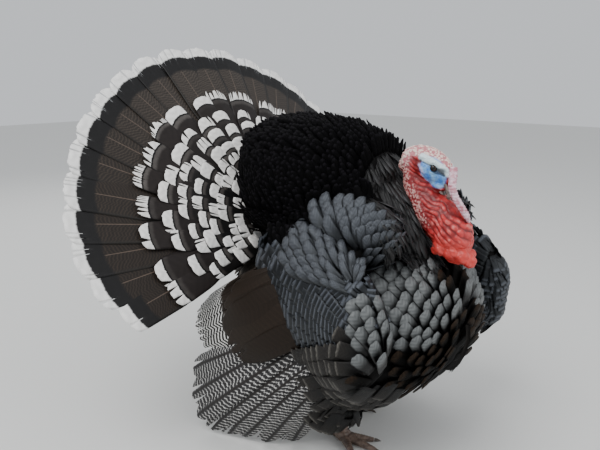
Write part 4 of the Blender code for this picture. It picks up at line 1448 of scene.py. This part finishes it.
def trunk_feathers():
    tract, flank, rear, under = (Tract(seed) for seed in (11, 12, 13, 14))
    ground = SOLID_GROUND["trunk"]
    whole = ground_of("trunk", "wing_left", "wing_right")
    hidden = others("trunk")
    carried = []
    start = centre_of("trunk", (0.5, 0.36, 0.5))
    end = centre_of("trunk", (0.5, 0.74, 0.58))
    for along, around, found in rings(ground, start, end, TRUNK_STEP, TRUNK_PITCH, 30.0):
        point, normal = found
        if buried(hidden, point, 0.022) or point.y > 0.06:
            continue
        front = fade(point.y, 0.00, -0.2)
        low = fade(point.z, 0.22, 0.1)
        way = side_of(point)
        deeper = 0.012 if on_flank(point) else 0.0
        loose = front * (1.0 - low) * fade(abs(point.x), 0.13, 0.05)
        shade = body_shade(point, front, low)
        # Feathers with the darkest painted tone, low on the body, take the darker belly finish.
        chosen = tract if shade[0] > 0.16 + 0.06 * tract.draw.random() else under
        chosen.plant((point, smoothed(whole, point, normal, 0.034)), trunk_lie(point), 0.047,
                     0.0235 - 0.003 * low, 6.0 + 8.0 * loose, 0.009 + deeper, shade,
                     (along, around), 3.0 + 5.0 * loose, 0.05 + 0.07 * loose, 2.5 * way)
    for chart, found in scatter(["trunk"], 0.0155, 14, hidden, 0.022, lambda p, n: p.y > 0.05):
        lie = Vector((found[0].x * 0.8, 0.6, -0.55))
        rear.plant(found, lie, 0.05, 0.026, 10.0, 0.009, (0.55, 0.5), chart, 8.0)
    for side, word in BOTH:
        def under_wing(point, normal):
            if side > 0.0 and point.x > 0.12 and normal.y < -0.4:
                return False
            return point.z < wing_edge(point.y) - TIP_ROOM and normal.x * side > -0.2

        for chart, (point, normal) in scatter(["wing_" + word], 0.0165, 15, [ground], 0.012,
                                              under_wing):
            if not on_flank(point) or normal.x * side < 0.55:
                around = smoothed(whole, point, normal, 0.034)
                shade = body_shade(point, 1.0, fade(point.z, 0.22, 0.1))
                chosen = tract if shade[0] > 0.16 + 0.06 * tract.draw.random() else under
                chosen.plant((point, around), trunk_lie(point), 0.046, 0.0235, 6.0, 0.007,
                             shade, chart, 3.0, 0.05, 2.5 * side)
        grounds = [SOLID_GROUND[kind + word] for kind in ("wing_", "thigh_")] + [ground]
        quills = ground_of("primaries_" + word)
        arcs = steps_of(0.044, 0.3, 0.013, 0.013)
        for near, solids in ((False, grounds), (True, grounds + [quills])):
            for _, turn, chart, found in side_fan(solids, side, FLANK_CORNER, arcs,
                                                  (-64.0, 22.0), lambda r: 0.019):
                point, normal = found
                ahead = strike(quills, Vector((0.0, point.y + 0.034, point.z - 0.012)),
                               Vector((side, 0.0, 0.0))) if near else None
                stand = max(0.85 * (ahead[0].x - point.x) * side, 0.0) if ahead else 0.0
                if stand > FLANK_STAND or near != (point.y < FLANK_END):
                    continue
                if not on_flank(point) or point.y > 0.03:
                    continue
                if normal.x * side < 0.25 or point.z > wing_edge(point.y) - 0.016:
                    continue
                lie = Vector((0.0, math.cos(turn), math.sin(turn)))
                lift = 8.0 + math.degrees(math.atan2(stand, FLANK_LENGTH))
                flank.plant(found, lie, math.hypot(FLANK_LENGTH, stand), 0.026, lift,
                            0.001 if near else 0.005,
                            (0.75 + 0.4 * noise.noise(point * 20.0), 0.5), chart, 0.5, 0.01,
                            -1.5 * side)
                carried.append(stand)
    print("flank feathers:", len(carried), "whose tips stand off by at most", max(carried))
    return (tract.dress("breast_feathers", SCALE, BRONZE),
            under.dress("belly_feathers", SCALE, UMBER),
            flank.dress("flank_feathers", CRESCENT, FLANK),
            rear.dress("rump_feathers", LOOSE, FLUFF))


TRUNK_PIECES = trunk_feathers()

# %% The outline of the shoulder fan
SHOULDER_CORNER = (-0.245, 0.342)            # y and z of the scapulars' lower front corner
SHOULDER_REACH = ((0.0, 0.142), (12.0, 0.156), (44.0, 0.168), (54.0, 0.143), (62.0, 0.136),
                  (70.0, 0.122), (82.0, 0.1), (97.0, 0.07))


def shoulder_reach(turn):
    """How far from their corner the scapulars' tips reach, by their turn in the side view."""
    return level(SHOULDER_REACH, math.degrees(turn))


def round_shoulder(point):
    """The turn of a place round the fan's corner, and how far within the fan it lies."""
    dy = point.y - SHOULDER_CORNER[0]
    dz = point.z - SHOULDER_CORNER[1]
    turn = math.atan2(dz, dy)
    return turn, shoulder_reach(turn) - math.hypot(dy, dz)


def above_shoulder(point, _):
    """Whether a place on the shoulder lies behind or above the fan of scapulars."""
    return point.z >= 0.35 and point.y >= -0.195 and round_shoulder(point)[1] < 0.02


def under_shoulder(point):
    """Whether a place on the wing is covered by the fan of scapulars."""
    turn, within = round_shoulder(point)
    return turn > math.radians(4.0) and within > 0.012


# %% [markdown]
# ## The puffed back
# The mantle rises behind the neck as a high black dome. Its feathers are broad and blunt, they
# point up and back over the dome, and their ends give it a rough, blocky outline.

# %% Mantle feathers
def mantle_feathers():
    tract = Tract(21)
    ground = SOLID_GROUND["mantle"]
    hidden = others("mantle")
    start = centre_of("mantle", (0.5, 0.26, 0.45))
    end = centre_of("mantle", (0.5, 0.74, 0.45))
    for along, around, found in rings(ground, start, end, 0.0105, 0.0088):
        point, normal = found
        if buried(hidden, point, 0.02) or (point.y < -0.168 and point.z < 0.53):
            continue
        side = side_of(point)
        up = fade(normal.z, 0.0, 0.7)
        lie = Vector((0.1 * side, 0.3 + 0.9 * up, 1.0 - 0.5 * up))
        tract.plant((point, normal), lie, 0.036, 0.0105, 12.0 + 16.0 * up, 0.01,
                    (0.4 * tract.draw.random(), 0.0), (along, around), 6.0)
    for side, word in BOTH:
        names = ["scapulars_" + word, "wing_" + word]
        for chart, found in scatter(names, 0.011, 22, others(*names), 0.01, above_shoulder):
            lie = Vector((-0.3 * side, 0.5, 1.0))
            tract.plant(found, lie, 0.036, 0.012, 12.0, 0.01, (0.3, 0.0), chart, 6.0)
    return tract.dress("mantle_feathers", PLUSH, VELVET)


MANTLE_FEATHERS = mantle_feathers()

# %% [markdown]
# ## The ruff of the neck
# Where the bare neck sinks between the shoulders it wears a collar of narrow feathers. They
# stream down and forward round it to the hollow of the throat, dark, with paler edges.

# %% Cape feathers
def cape_feathers():
    tract = Tract(31)
    for names, spacing, keep in (
            (("cape",), 0.0078, lambda p, n: True),
            (("mantle",), 0.0078, lambda p, n: p.y < -0.16 and p.z < 0.535),
            (("scapulars_left", "scapulars_right"), 0.0085,
             lambda p, n: p.y < -0.188 and (p.z > 0.398 or (n.y < -0.3 and abs(p.x) < 0.1)))):
        hidden = others(*names, "neck")
        for chart, found in scatter(names, spacing, 32, hidden, 0.012, keep):
            point, normal = found
            side = side_of(point)
            turn, within = round_shoulder(point)
            if names[0] == "scapulars_left" and within > 0.016:
                if normal.y > -0.3 or math.degrees(turn) < 97.0:
                    continue
            lie = Vector((0.2 * side, -0.62, -1.0))
            low = fade(point.z, 0.5, 0.42)
            # Painted shade: the lowest ruff feathers are darker, for the dark hollow they lie in.
            bright = 0.45 + 0.55 * low - 0.6 * fade(point.z, 0.385, 0.36)
            tract.plant(found, lie, 0.048, 0.0078, 4.5, 0.008,
                        (bright, tract.draw.random() * (1.0 - low)), chart, 2.0, 0.04)
    return tract.dress("cape_feathers", NARROW, CAPE)


CAPE_FEATHERS = cape_feathers()

# %% [markdown]
# ## Shoulders and wing coverts
# The scapulars fan out over the shoulder from its lower front corner, so they are planted on
# arcs round that corner, seen square to the bird's side. The coverts below fan out of the
# wrist in the same way: tiny and smooth at the wrist, longer with every row, until they lap
# over the quills.

# %% Shoulder and wing feathers
WRIST_CORNER = (-0.268, 0.285)               # y and z of the wrist


def scapular_feathers(side, word):
    tract = Tract(41)
    grounds = [SOLID_GROUND[n + word] for n in ("scapulars_", "wing_")] + [SOLID_GROUND["mantle"]]
    reaches = steps_of(0.006, 0.122, 0.011, 0.0165)
    for radius, turn, chart, found in side_fan(grounds, side, SHOULDER_CORNER, reaches,
                                               (4.0, 97.0), lambda r: 0.0085 + 0.07 * r,
                                               lambda t: shoulder_reach(t) / 0.17):
        lie = Vector((0.0, math.cos(turn - 0.12), math.sin(turn - 0.12)))
        far = fade(radius, 0.01, 0.11)
        small = 0.5 + 0.5 * shoulder_reach(turn) / 0.17
        tract.plant(found, lie, (0.042 + 0.01 * far) * small, (0.013 + 0.01 * far) * small, 9.0,
                    0.004, (0.5 + 0.5 * far, 0.85 - 0.65 * far), chart, 1.5, 0.03, 5.0 * side)
    node = "scapulars_" + word
    for chart, found in scatter([node], 0.01, 43, others(node), 0.01,
                                lambda p, n: n.y < -0.3 and 0.34 < p.z < 0.404):
        point = found[0]
        lie = Vector((-0.25 * side, 0.0, 1.0))
        # Painted shade: these feathers darken downwards, into the hollow below the shoulder.
        near = fade(point.z, 0.34, 0.375)
        tract.plant(found, lie, 0.036, 0.0125, 7.0, 0.006, (0.15 + 0.4 * near, 0.8), chart, 3.0,
                    0.04, 5.0 * side)
    return tract.dress("scapular_feathers_" + word, LONG[side], SLATE)


def covert_feathers(side, word):
    tract = Tract(51)
    grounds = [SOLID_GROUND["wing_" + word]]
    hidden = [SOLID_GROUND["scapulars_" + word]]
    reaches = steps_of(0.01, 0.215, 0.006, 0.0105)
    for radius, turn, chart, found in side_fan(grounds, side, WRIST_CORNER, reaches, (-48.0, 110.0),
                                               lambda r: 0.009 + 0.085 * r):
        point = found[0]
        if buried(hidden, point, 0.014) or point.z < wing_edge(point.y) - TIP_ROOM:
            continue
        far = fade(radius, 0.02, 0.18)
        lie = Vector((0.0, math.cos(turn), math.sin(turn)))
        tip = point + (0.018 + 0.03 * far) * lie
        if tip.z > 0.383 or under_shoulder(point):
            continue
        if point.y > -0.215 and tip.z < wing_edge(tip.y) - 0.004:
            continue
        cool = fade(radius, 0.05, 0.1)
        tract.plant(found, lie, 0.018 + 0.03 * far, 1.15 * (0.009 + 0.085 * radius) + 0.002,
                    5.5, 0.004 + 0.003 * far,
                    (1.0 - 0.6 * fade(radius, 0.09, 0.18), 1.0 - cool), chart, 0.5, 0.006)
    return tract.dress("wing_covert_feathers_" + word, CRESCENT, COVERT_SLATE)


def wrist_feathers(side, word):
    """The front and top of the folded wing, from its wrist round to the breast."""
    tract = Tract(61)
    hidden = [SOLID_GROUND["trunk"], SOLID_GROUND["scapulars_" + word], SOLID_GROUND["mantle"]]

    def off_side(point, normal):
        turned = normal.x * side < 0.6 or point.y < WRIST_CORNER[0] + 0.01
        inner = side > 0.0 and normal.x < -0.15 and point.y < -0.2
        inner = inner or (side > 0.0 and point.x > 0.11 and normal.y < -0.35)
        edge = wing_edge(point.y) - TIP_ROOM * fade(point.y, -0.2, -0.24)
        edge = 0.15 if inner else edge
        return turned and edge < point.z < 0.375 and not under_shoulder(point)

    for chart, found in scatter(["wing_" + word], 0.0078, 62, hidden, 0.01, off_side):
        point, normal = found
        if point.z < wing_edge(point.y):
            lie = Vector((0.6 * side, 0.5, -1.0))
        else:
            lie = Vector((0.1 * side, 1.0, 0.35))
        tract.plant((point, smoothed(SOLID_GROUND["wing_" + word], point, normal)), lie, 0.032,
                    0.0135, 4.5, 0.006, (1.0, 0.35), chart, 2.0, 0.03, 3.0 * side)
    return tract.dress("wrist_feathers_" + word, CRESCENT, COVERT_SLATE)


SHOULDER_PIECES = [feathers(way, name) for way, name in BOTH
                   for feathers in (scapular_feathers, covert_feathers, wrist_feathers)]


# %% Thigh feathers
def thigh_feathers(word):
    """Dusky feathers that hang over the thigh and hide its joint with the leg."""
    tract = Tract(71)
    trunk = [SOLID_GROUND["trunk"]]
    for chart, found in scatter(["thigh_" + word], 0.012, 72, trunk, 0.014):
        lie = Vector((0.0, 0.45, -1.0))
        tract.plant(found, lie, 0.034, 0.019, 7.0, 0.008, (0.3, 0.6), chart, 7.0)
    return tract.dress("thigh_feathers_" + word, LOOSE, FLANK)


THIGH_PIECES = [thigh_feathers(word) for _, word in BOTH]

# %% [markdown]
# ## The tail fan
# Twenty-three quills spread from one hub at the rump, and the fan leans back and is slightly
# hollow in front. The middle quills lie on top, and each laps over its outer neighbour. Every
# quill is its own sheet with a raised shaft and a ragged white end.

# %% The surface of the fan
FAN_LEAN = math.radians(54.0)
FAN_SWEEP = -0.1             # the sides bend back by this share of the radius
QUILLS_EACH_SIDE = 11
QUILL_PITCH = 10.35          # degrees between the middle quills
QUILL_CROWDING = 0.105       # degrees by which each further pair closes up
FAN_OUTER_LOSS = 0.05        # by how much the outermost quills are shorter

fan_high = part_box("tail_fan")[1]
FAN_RADIUS = fan_high.x / math.sin(math.radians(85.0))
FAN_OUT = Vector((0.0, math.cos(FAN_LEAN), math.sin(FAN_LEAN)))
FAN_FRONT = Vector((0.0, -math.sin(FAN_LEAN), math.cos(FAN_LEAN)))
FAN_HUB = Vector((0.0, fan_high.y, fan_high.z)) - FAN_OUT * FAN_RADIUS + FAN_FRONT * -0.0015
print("fan radius", round(FAN_RADIUS, 3), "hub", [round(c, 3) for c in FAN_HUB])


def quill_angle(place):
    """Radians from the fan's middle of a quill number, positive to the bird's left."""
    size = abs(place)
    turn = math.radians(QUILL_PITCH * size - QUILL_CROWDING * size * size)
    return math.copysign(turn, place)


def fan_reach(turn):
    share = fade(abs(math.degrees(turn)), 85.0, 110.0)
    return FAN_RADIUS - FAN_OUTER_LOSS * share


def fan_point(turn, radius, lift=0.0):
    bend = FAN_SWEEP * radius * math.sin(turn) ** 2
    return (FAN_HUB + FAN_OUT * (radius * math.cos(turn))
            + Vector((radius * math.sin(turn), 0.0, 0.0)) + FAN_FRONT * (bend + lift))


def shaft_ridge(u, height):
    """The rounded ridge of a shaft on its vane."""
    return height * math.exp(-(u / 0.05) ** 2)


def bake_cell(index, columns, rows):
    """A quill's own patch on the bake chart: a long cell of an even grid."""
    column = index % columns
    row = index // columns
    return (column / columns, row / rows, (column + 1) / columns, (row + 1) / rows)


# %% Tail quills
def tail_quills():
    draw = random.Random(5)
    sheets = Sheets()
    count = 2 * QUILLS_EACH_SIDE + 1
    for k in range(-QUILLS_EACH_SIDE, QUILLS_EACH_SIDE + 1):
        middle = quill_angle(k) + draw.uniform(-0.006, 0.006)
        outer = 1.0 if k >= 0 else -1.0
        length = fan_reach(middle) * draw.uniform(0.988, 1.0)
        root = 0.03
        lean = draw.uniform(-0.0008, 0.0008)
        wave = draw.uniform(0.0, 6.0)

        def surface(u, v):
            radius = root + (length - root) * v
            wide = 0.036 if u * outer > 0.0 else 0.041
            half = min(wide, 0.004 + 0.112 * radius)
            lift = 0.0012 * u * outer + lean + shaft_ridge(u, 0.0011 * (1.2 - v))
            lift += 0.0012 * (1.0 - u * u) + 0.0006 * math.sin(9.0 * v + wave + 2.0 * u)
            return fan_point(middle + u * half / radius, radius, lift - 0.001)

        slits = [draw.uniform(-0.92, 0.92) for _ in range(draw.randint(3, 6))]
        reach = ragged([draw.uniform(0.0, 0.008) for _ in range(12)], 0.035, 3.2)
        sheets.add(surface, 14, 34, slits, TAIL_WHITE - 0.004, reach,
                   (draw.random(), fade(abs(k), 9.0, 0.0) * 0.9, 0.0),
                   bake_cell(k + QUILLS_EACH_SIDE, count, 1), 0.8, 0.1, True)
    return sheets.build("tail_quills", TAIL, 0.0006)


TAIL_QUILLS = tail_quills()
print("tail faces", len(TAIL_QUILLS.data.polygons))

# %% [markdown]
# Over the roots of the quills lie the tail coverts, row on row like roof tiles, smaller towards
# the back. Each ends in a white band behind a thin black line, so the rows read as broken white
# arcs. Some of the largest have their ends frayed into ribbons.

# %% Tail coverts
COVERT_ROWS = (               # reach, degrees between feathers, feather length
    (0.312, 11.5, 0.135),
    (0.262, 11.5, 0.12),
    (0.229, 11.0, 0.11),
    (0.203, 11.5, 0.1),
    (0.178, 12.0, 0.095),
    (0.154, 13.0, 0.09),
    (0.131, 14.5, 0.08),
    (0.108, 17.0, 0.07),
)
COVERT_SPAN = 104.0          # degrees to each side
WHITE_END = 0.019            # how long the white end of a covert is


def covert_height(radius):
    """How far the coverts' outer face stands off the fan."""
    if radius < 0.225:
        return 0.034 + (0.0125 - 0.034) * (radius - 0.05) / 0.175
    return 0.0125 + (0.006 - 0.0125) * (radius - 0.225) / 0.085


def tail_coverts():
    draw = random.Random(6)
    sheets = Sheets()
    cells = sum(int(2 * COVERT_SPAN / pitch) + 1 for _, pitch, _ in COVERT_ROWS)
    wide_cells = 16
    tall_cells = (cells + wide_cells - 1) // wide_cells
    index = 0
    for row, (row_reach, pitch, row_length) in enumerate(COVERT_ROWS):
        count = int(2 * COVERT_SPAN / pitch) + 1
        for k in range(count):
            degrees = -COVERT_SPAN + pitch * (k + 0.5 * (row % 2)) + draw.uniform(-2.2, 2.2)
            middle = math.radians(degrees)
            tip = row_reach + draw.uniform(-0.009, 0.004) - 0.012 * fade(abs(degrees), 70, 105)
            length = row_length * draw.uniform(0.95, 1.05)
            half = math.radians(pitch) * row_reach * draw.uniform(0.34, 0.52)
            skew = draw.uniform(-0.2, 0.2)
            height = covert_height(tip) + draw.uniform(-0.0006, 0.0014)

            def surface(u, v):
                radius = tip - length * (1.0 - v)
                fill = min(v / 0.5, 1.0)
                wide = half * (0.35 + 0.65 * fill * (2.0 - fill))
                under = covert_height(radius) - 0.006
                lift = under + (height - under) * v ** 1.5 + 0.003 * (1.0 - u * u) * fill
                lift += shaft_ridge(u, 0.0006)
                return fan_point(middle + (u * wide + skew * v * half) / radius, radius, lift)

            frayed = row == 0 and draw.random() < 0.45
            number = draw.randint(9, 13) if frayed else draw.randint(0, 2)
            slits = [draw.uniform(-0.9, 0.9) for _ in range(number)]
            torn = 0.05 if frayed else 0.014
            reach = ragged([draw.uniform(0.0, torn) for _ in range(12)], 0.07, 3.6)
            white = WHITE_END * draw.uniform(0.75, 1.2) / length
            sheets.add(surface, 10, 10, slits, 1.0 - white, reach,
                       (draw.random(), white, fade(row, 3.0, 0.0)),
                       bake_cell(index, wide_cells, tall_cells), 0.75,
                       0.55 if frayed else 0.3)
            index += 1
    return sheets.build("tail_covert_feathers", COVERT, 0.0005)


TAIL_COVERTS = tail_coverts()
print("covert faces", len(TAIL_COVERTS.data.polygons))


# %% Feathers under the tail
def undertail_feathers():
    """Soft dusky feathers behind the roots of the fan, pointing out along its quills."""
    tract = Tract(81)
    reaches = steps_of(0.02, 0.165, 0.014, 0.018)
    for number, radius in enumerate(reaches):
        count = max(int(2.0 * math.radians(COVERT_SPAN) * radius / 0.02), 5)
        for i in range(count + 1):
            place = min(i + 0.5 * (number % 2), count)
            turn = math.radians(-COVERT_SPAN + 2.0 * COVERT_SPAN * place / count)
            depth = 0.04 * (1.0 - radius / 0.2) + 0.004
            point = fan_point(turn, radius, -depth)
            lie = (fan_point(turn, radius + 0.02, -depth) - point).normalized()
            tract.plant((point, -FAN_FRONT), lie, 0.052, 0.026, 8.0, -0.002, (0.7, 0.5),
                        (number / (len(reaches) - 1), i / count), 9.0)
    return tract.dress("undertail_feathers", LOOSE, FLUFF)


UNDERTAIL = undertail_feathers()

# %% [markdown]
# ## The quills of the wing
# In strut the wing is half opened and held down, so its quills fan out from the wrist to the
# ground. They are laid on one ruled surface: a curve of roots, a curve of tips, and a slight
# bow between them. Each quill covers its share of the surface and laps over the next.

# %% Wing quills
WING_BACK = 0.018            # from the bird's own datum to the middle of its footprint
PRIMARY_BASES = ((0.18, -0.11, 0.245), (0.183, -0.17, 0.235), (0.18, -0.215, 0.225),
                 (0.165, -0.245, 0.205))
PRIMARY_TIPS = ((0.203, 0.106, 0.128), (0.21, 0.103, 0.062), (0.208, 0.078, 0.006),
                (0.19, 0.018, 0.002), (0.165, -0.042, 0.002), (0.12, -0.088, 0.002))
SECONDARY_BASES = ((0.184, -0.175, 0.25), (0.178, -0.12, 0.29), (0.168, -0.07, 0.335),
                   (0.162, -0.062, 0.346))
SECONDARY_TIPS = ((0.2, 0.04, 0.135), (0.204, 0.086, 0.178), (0.199, 0.094, 0.222),
                  (0.188, 0.066, 0.262))
TERTIAL_BASES = ((0.19, -0.19, 0.245), (0.19, -0.15, 0.29), (0.18, -0.11, 0.33),
                 (0.172, -0.09, 0.345))
TERTIAL_TIPS = ((0.205, -0.055, 0.168), (0.212, -0.022, 0.18), (0.212, 0.006, 0.225),
                (0.205, 0.004, 0.27), (0.192, -0.02, 0.315))


def wing_quills(name, side, bases, tips, count, lap, bulge, finish, seed, tone, tip_round,
                outset=0.0):
    """Quills side by side from a curve of roots to a curve of tips."""
    draw = random.Random(seed)
    sheets = Sheets()
    for k in range(count):
        middle = (k + 0.5) / count
        jitter = draw.uniform(-0.1, 0.1) / count
        length = draw.uniform(0.975, 1.0)
        bow = draw.uniform(0.8, 1.2)

        def surface(u, v):
            full = min(v / 0.35, 1.0)
            half = (0.45 + 0.55 * full * (2.0 - full)) * lap / count
            share = middle + jitter * v + u * half
            inside = min(max(share, 0.0), 1.0)
            base = rows_at(bases, inside)
            tip = rows_at(tips, inside)
            spare = share - inside
            if spare:
                edge = rows_at(tips, inside + (0.02 if spare < 0.0 else -0.02))
                tip += (tip - edge) * (abs(spare) / 0.02)
            here = base.lerp(tip, v * length)
            here.x += bulge * bow * math.sin(math.pi * v) + outset
            here.x += 0.0016 * u + 0.0016 * (1.0 - u * u) + shaft_ridge(u, 0.0012 * (1.2 - v))
            here.z = max(here.z, 0.0008)
            return Vector((side * here.x, here.y + WING_BACK, here.z))

        slits = [draw.uniform(-0.85, 0.85) for _ in range(draw.randint(0, 3))]
        reach = ragged([draw.uniform(0.0, 0.012) for _ in range(12)], tip_round, 2.2)
        sheets.add(surface, 12, 26, slits, 0.86, reach, (draw.random(), tone, 0.5),
                   bake_cell(k, count, 1), 0.9, 0.3, True)
    return sheets.build(name, finish, 0.0006)


WING_QUILLS = []
for way, word in BOTH:
    # kind, roots, tips, count, lap, bulge, finish, seed, tone, roundness of the tip, step out
    for kind, *shape in (
            ("primary", PRIMARY_BASES, PRIMARY_TIPS, 8, 0.82, 0.014, PRIMARY, 91, 0.5, 0.1),
            ("secondary", SECONDARY_BASES, SECONDARY_TIPS, 11, 0.85, 0.012, SECONDARY, 92, 0.75,
             0.1),
            ("tertial", TERTIAL_BASES, TERTIAL_TIPS, 5, 0.9, 0.01, SECONDARY, 93, 0.0, 0.22,
             0.005)):
        WING_QUILLS.append(wing_quills(kind + "_quills_" + word, way, *shape))
print("wing quills:", [item.name for item in WING_QUILLS])

# %% [markdown]
# ## Legs, claws and beard
# Shanks and feet are refined from the solids too. Their scales are raised: broad plates across
# the shank and over the toes. The beard is a brush of coarse bristles that hangs from the
# breast.

# %% Scaly legs
def shank_relief(point):
    plates = abs(math.sin(math.pi * point.z / 0.0062)) ** 0.5
    return 0.0007 * plates - 0.0006


def foot_relief(centre):
    """Cross plates along the toes, by the distance from the foot's middle."""
    def relief(point):
        reach = math.hypot(point.x - centre.x, point.y - centre.y)
        plates = abs(math.sin(math.pi * reach / 0.0052)) ** 0.5
        top = fade(point.z, 0.002, 0.006)
        return top * (0.0007 * plates - 0.0005)
    return relief


LEG_PIECES = []
for way, word in BOTH:
    shank_low, shank_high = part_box("shank_" + word)
    ankle = Vector(((shank_low.x + shank_high.x) / 2, shank_low.y + 0.01, 0.0))
    for kind, voxel, relief in (("shank", 0.0011, shank_relief),
                                ("foot", 0.001, foot_relief(ankle))):
        node = kind + "_" + word
        LEG_PIECES.append((refined(kind + "_scales_" + word, node, voxel, 6, relief, LEG_FINISH),
                           node, "leg_scale"))
    for kind in ("claw_inner_", "claw_middle_", "claw_outer_", "claw_hind_", "spur_"):
        node = kind + word
        LEG_PIECES.append((refined("horn_" + node, node, 0.0006, 5, horn_relief, CLAW_FINISH),
                           node, "claw_horn"))
print("leg pieces:", len(LEG_PIECES))


# %% Beard
BRISTLES = 150
BEARD_LINE = ((-0.325, 0.256), (-0.3265, 0.232), (-0.321, 0.208), (-0.311, 0.186),
              (-0.298, 0.166))               # y and z down the middle of the brush


def beard_bristles():
    """Bristles that start together on the breast and hang in a loose, wavy brush."""
    draw = random.Random(101)
    line = [Vector((0.0, y, z)) for y, z in BEARD_LINE]
    points, faces, vane, shade, patch = [], [], [], [], []
    sides = 3
    steps = 10
    for k in range(BRISTLES):
        turn = draw.uniform(0.0, 2.0 * math.pi)
        spread = math.sqrt(draw.random())
        root = Vector((math.cos(turn), 0.5 * math.sin(turn), 0.0)) * (0.0048 * spread)
        reach = draw.uniform(0.72, 1.0)
        stray = Vector((draw.gauss(0.0, 0.0016), draw.gauss(0.0, 0.001), 0.0))
        first = len(points)
        for i in range(steps + 1):
            share = i / steps
            here = rows_at(line, share * reach) + root + stray * share * share
            here.x += 0.0008 * math.sin(9.0 * share + k)
            radius = 0.00055 * (1.0 - 0.6 * share)
            for j in range(sides):
                spin = 2.0 * math.pi * j / sides
                points.append(here + Vector((math.cos(spin), math.sin(spin), 0.0)) * radius)
                vane.append((0.0, share, 0.0))
                shade.append((draw.random(), 0.5, 0.5))
                patch.append((0.02 + 0.95 * (k + 0.5 * j / sides) / BRISTLES, 0.02 + 0.96 * share))
        for i in range(steps):
            for j in range(sides):
                a = first + i * sides + j
                b = first + i * sides + (j + 1) % sides
                faces.append((a, b, b + sides, a + sides))
        faces.append(tuple(first + j for j in range(sides))[::-1])
        faces.append(tuple(first + steps * sides + j for j in range(sides)))
    mesh = bpy.data.meshes.new("beard_bristles")
    mesh.from_pydata(points, [], faces)
    store(mesh, vane=vane, shade=shade)
    chart_points(mesh, patch)
    mesh.materials.append(BRISTLE)
    tidy = bmesh.new()
    tidy.from_mesh(mesh)
    bmesh.ops.recalc_face_normals(tidy, faces=tidy.faces)
    tidy.to_mesh(mesh)
    tidy.free()
    return add_object("beard_bristles", mesh)


BRISTLE = plain_finish("bristle_black", (0.012, 0.01, 0.009), 0.45)
BEARD = beard_bristles()
print("beard faces", len(BEARD.data.polygons))

# %% [markdown]
# ## Joining the pieces to the solids
# The skin stands for all the nodes of flesh, the plumage and the quills for the rest. Every
# piece rides on the one body of this still figure.

# %% Ride and replace
def attach(piece, slot, *nodes):
    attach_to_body(piece, "root")
    if nodes:
        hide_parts(*nodes)


attach(SKIN, "red_skin", "neck", "head", "wattle", *BODY_FLESH)
COATS = ((TRUNK_PIECES[:1], "black_plume"), (TRUNK_PIECES[1:], "brown_plume"),
         ((MANTLE_FEATHERS, CAPE_FEATHERS), "black_plume"), (SHOULDER_PIECES, "slate_plume"),
         (THIGH_PIECES, "brown_plume"))
for coat, slot_name in COATS:
    for piece in coat:
        attach(piece, slot_name)
for piece, (_, word) in zip(EYEBALLS, BOTH):
    attach(piece, "eye_gloss", "eye_" + word)
for piece, node in zip(BILL_PIECES, ("bill_upper", "bill_lower")):
    attach(piece, "bill_horn", node)
attach(SNOOD_PIECE, "pink_skin", "snood")
for piece, node, slot_name in LEG_PIECES:
    attach(piece, slot_name, node)
attach(BEARD, "bristle", "beard")
attach(TAIL_QUILLS, "tail_plume", "tail_fan")
attach(TAIL_COVERTS, "white_plume", "tail_coverts")
attach(UNDERTAIL, "brown_plume", "undertail_coverts")
for piece in WING_QUILLS:
    kind, _, word = piece.name.split("_")
    slot_name, nodes = (("barred_plume", "primaries_") if kind == "primary"
                        else ("brown_plume", "secondaries_"))
    attach(piece, slot_name, nodes + word)

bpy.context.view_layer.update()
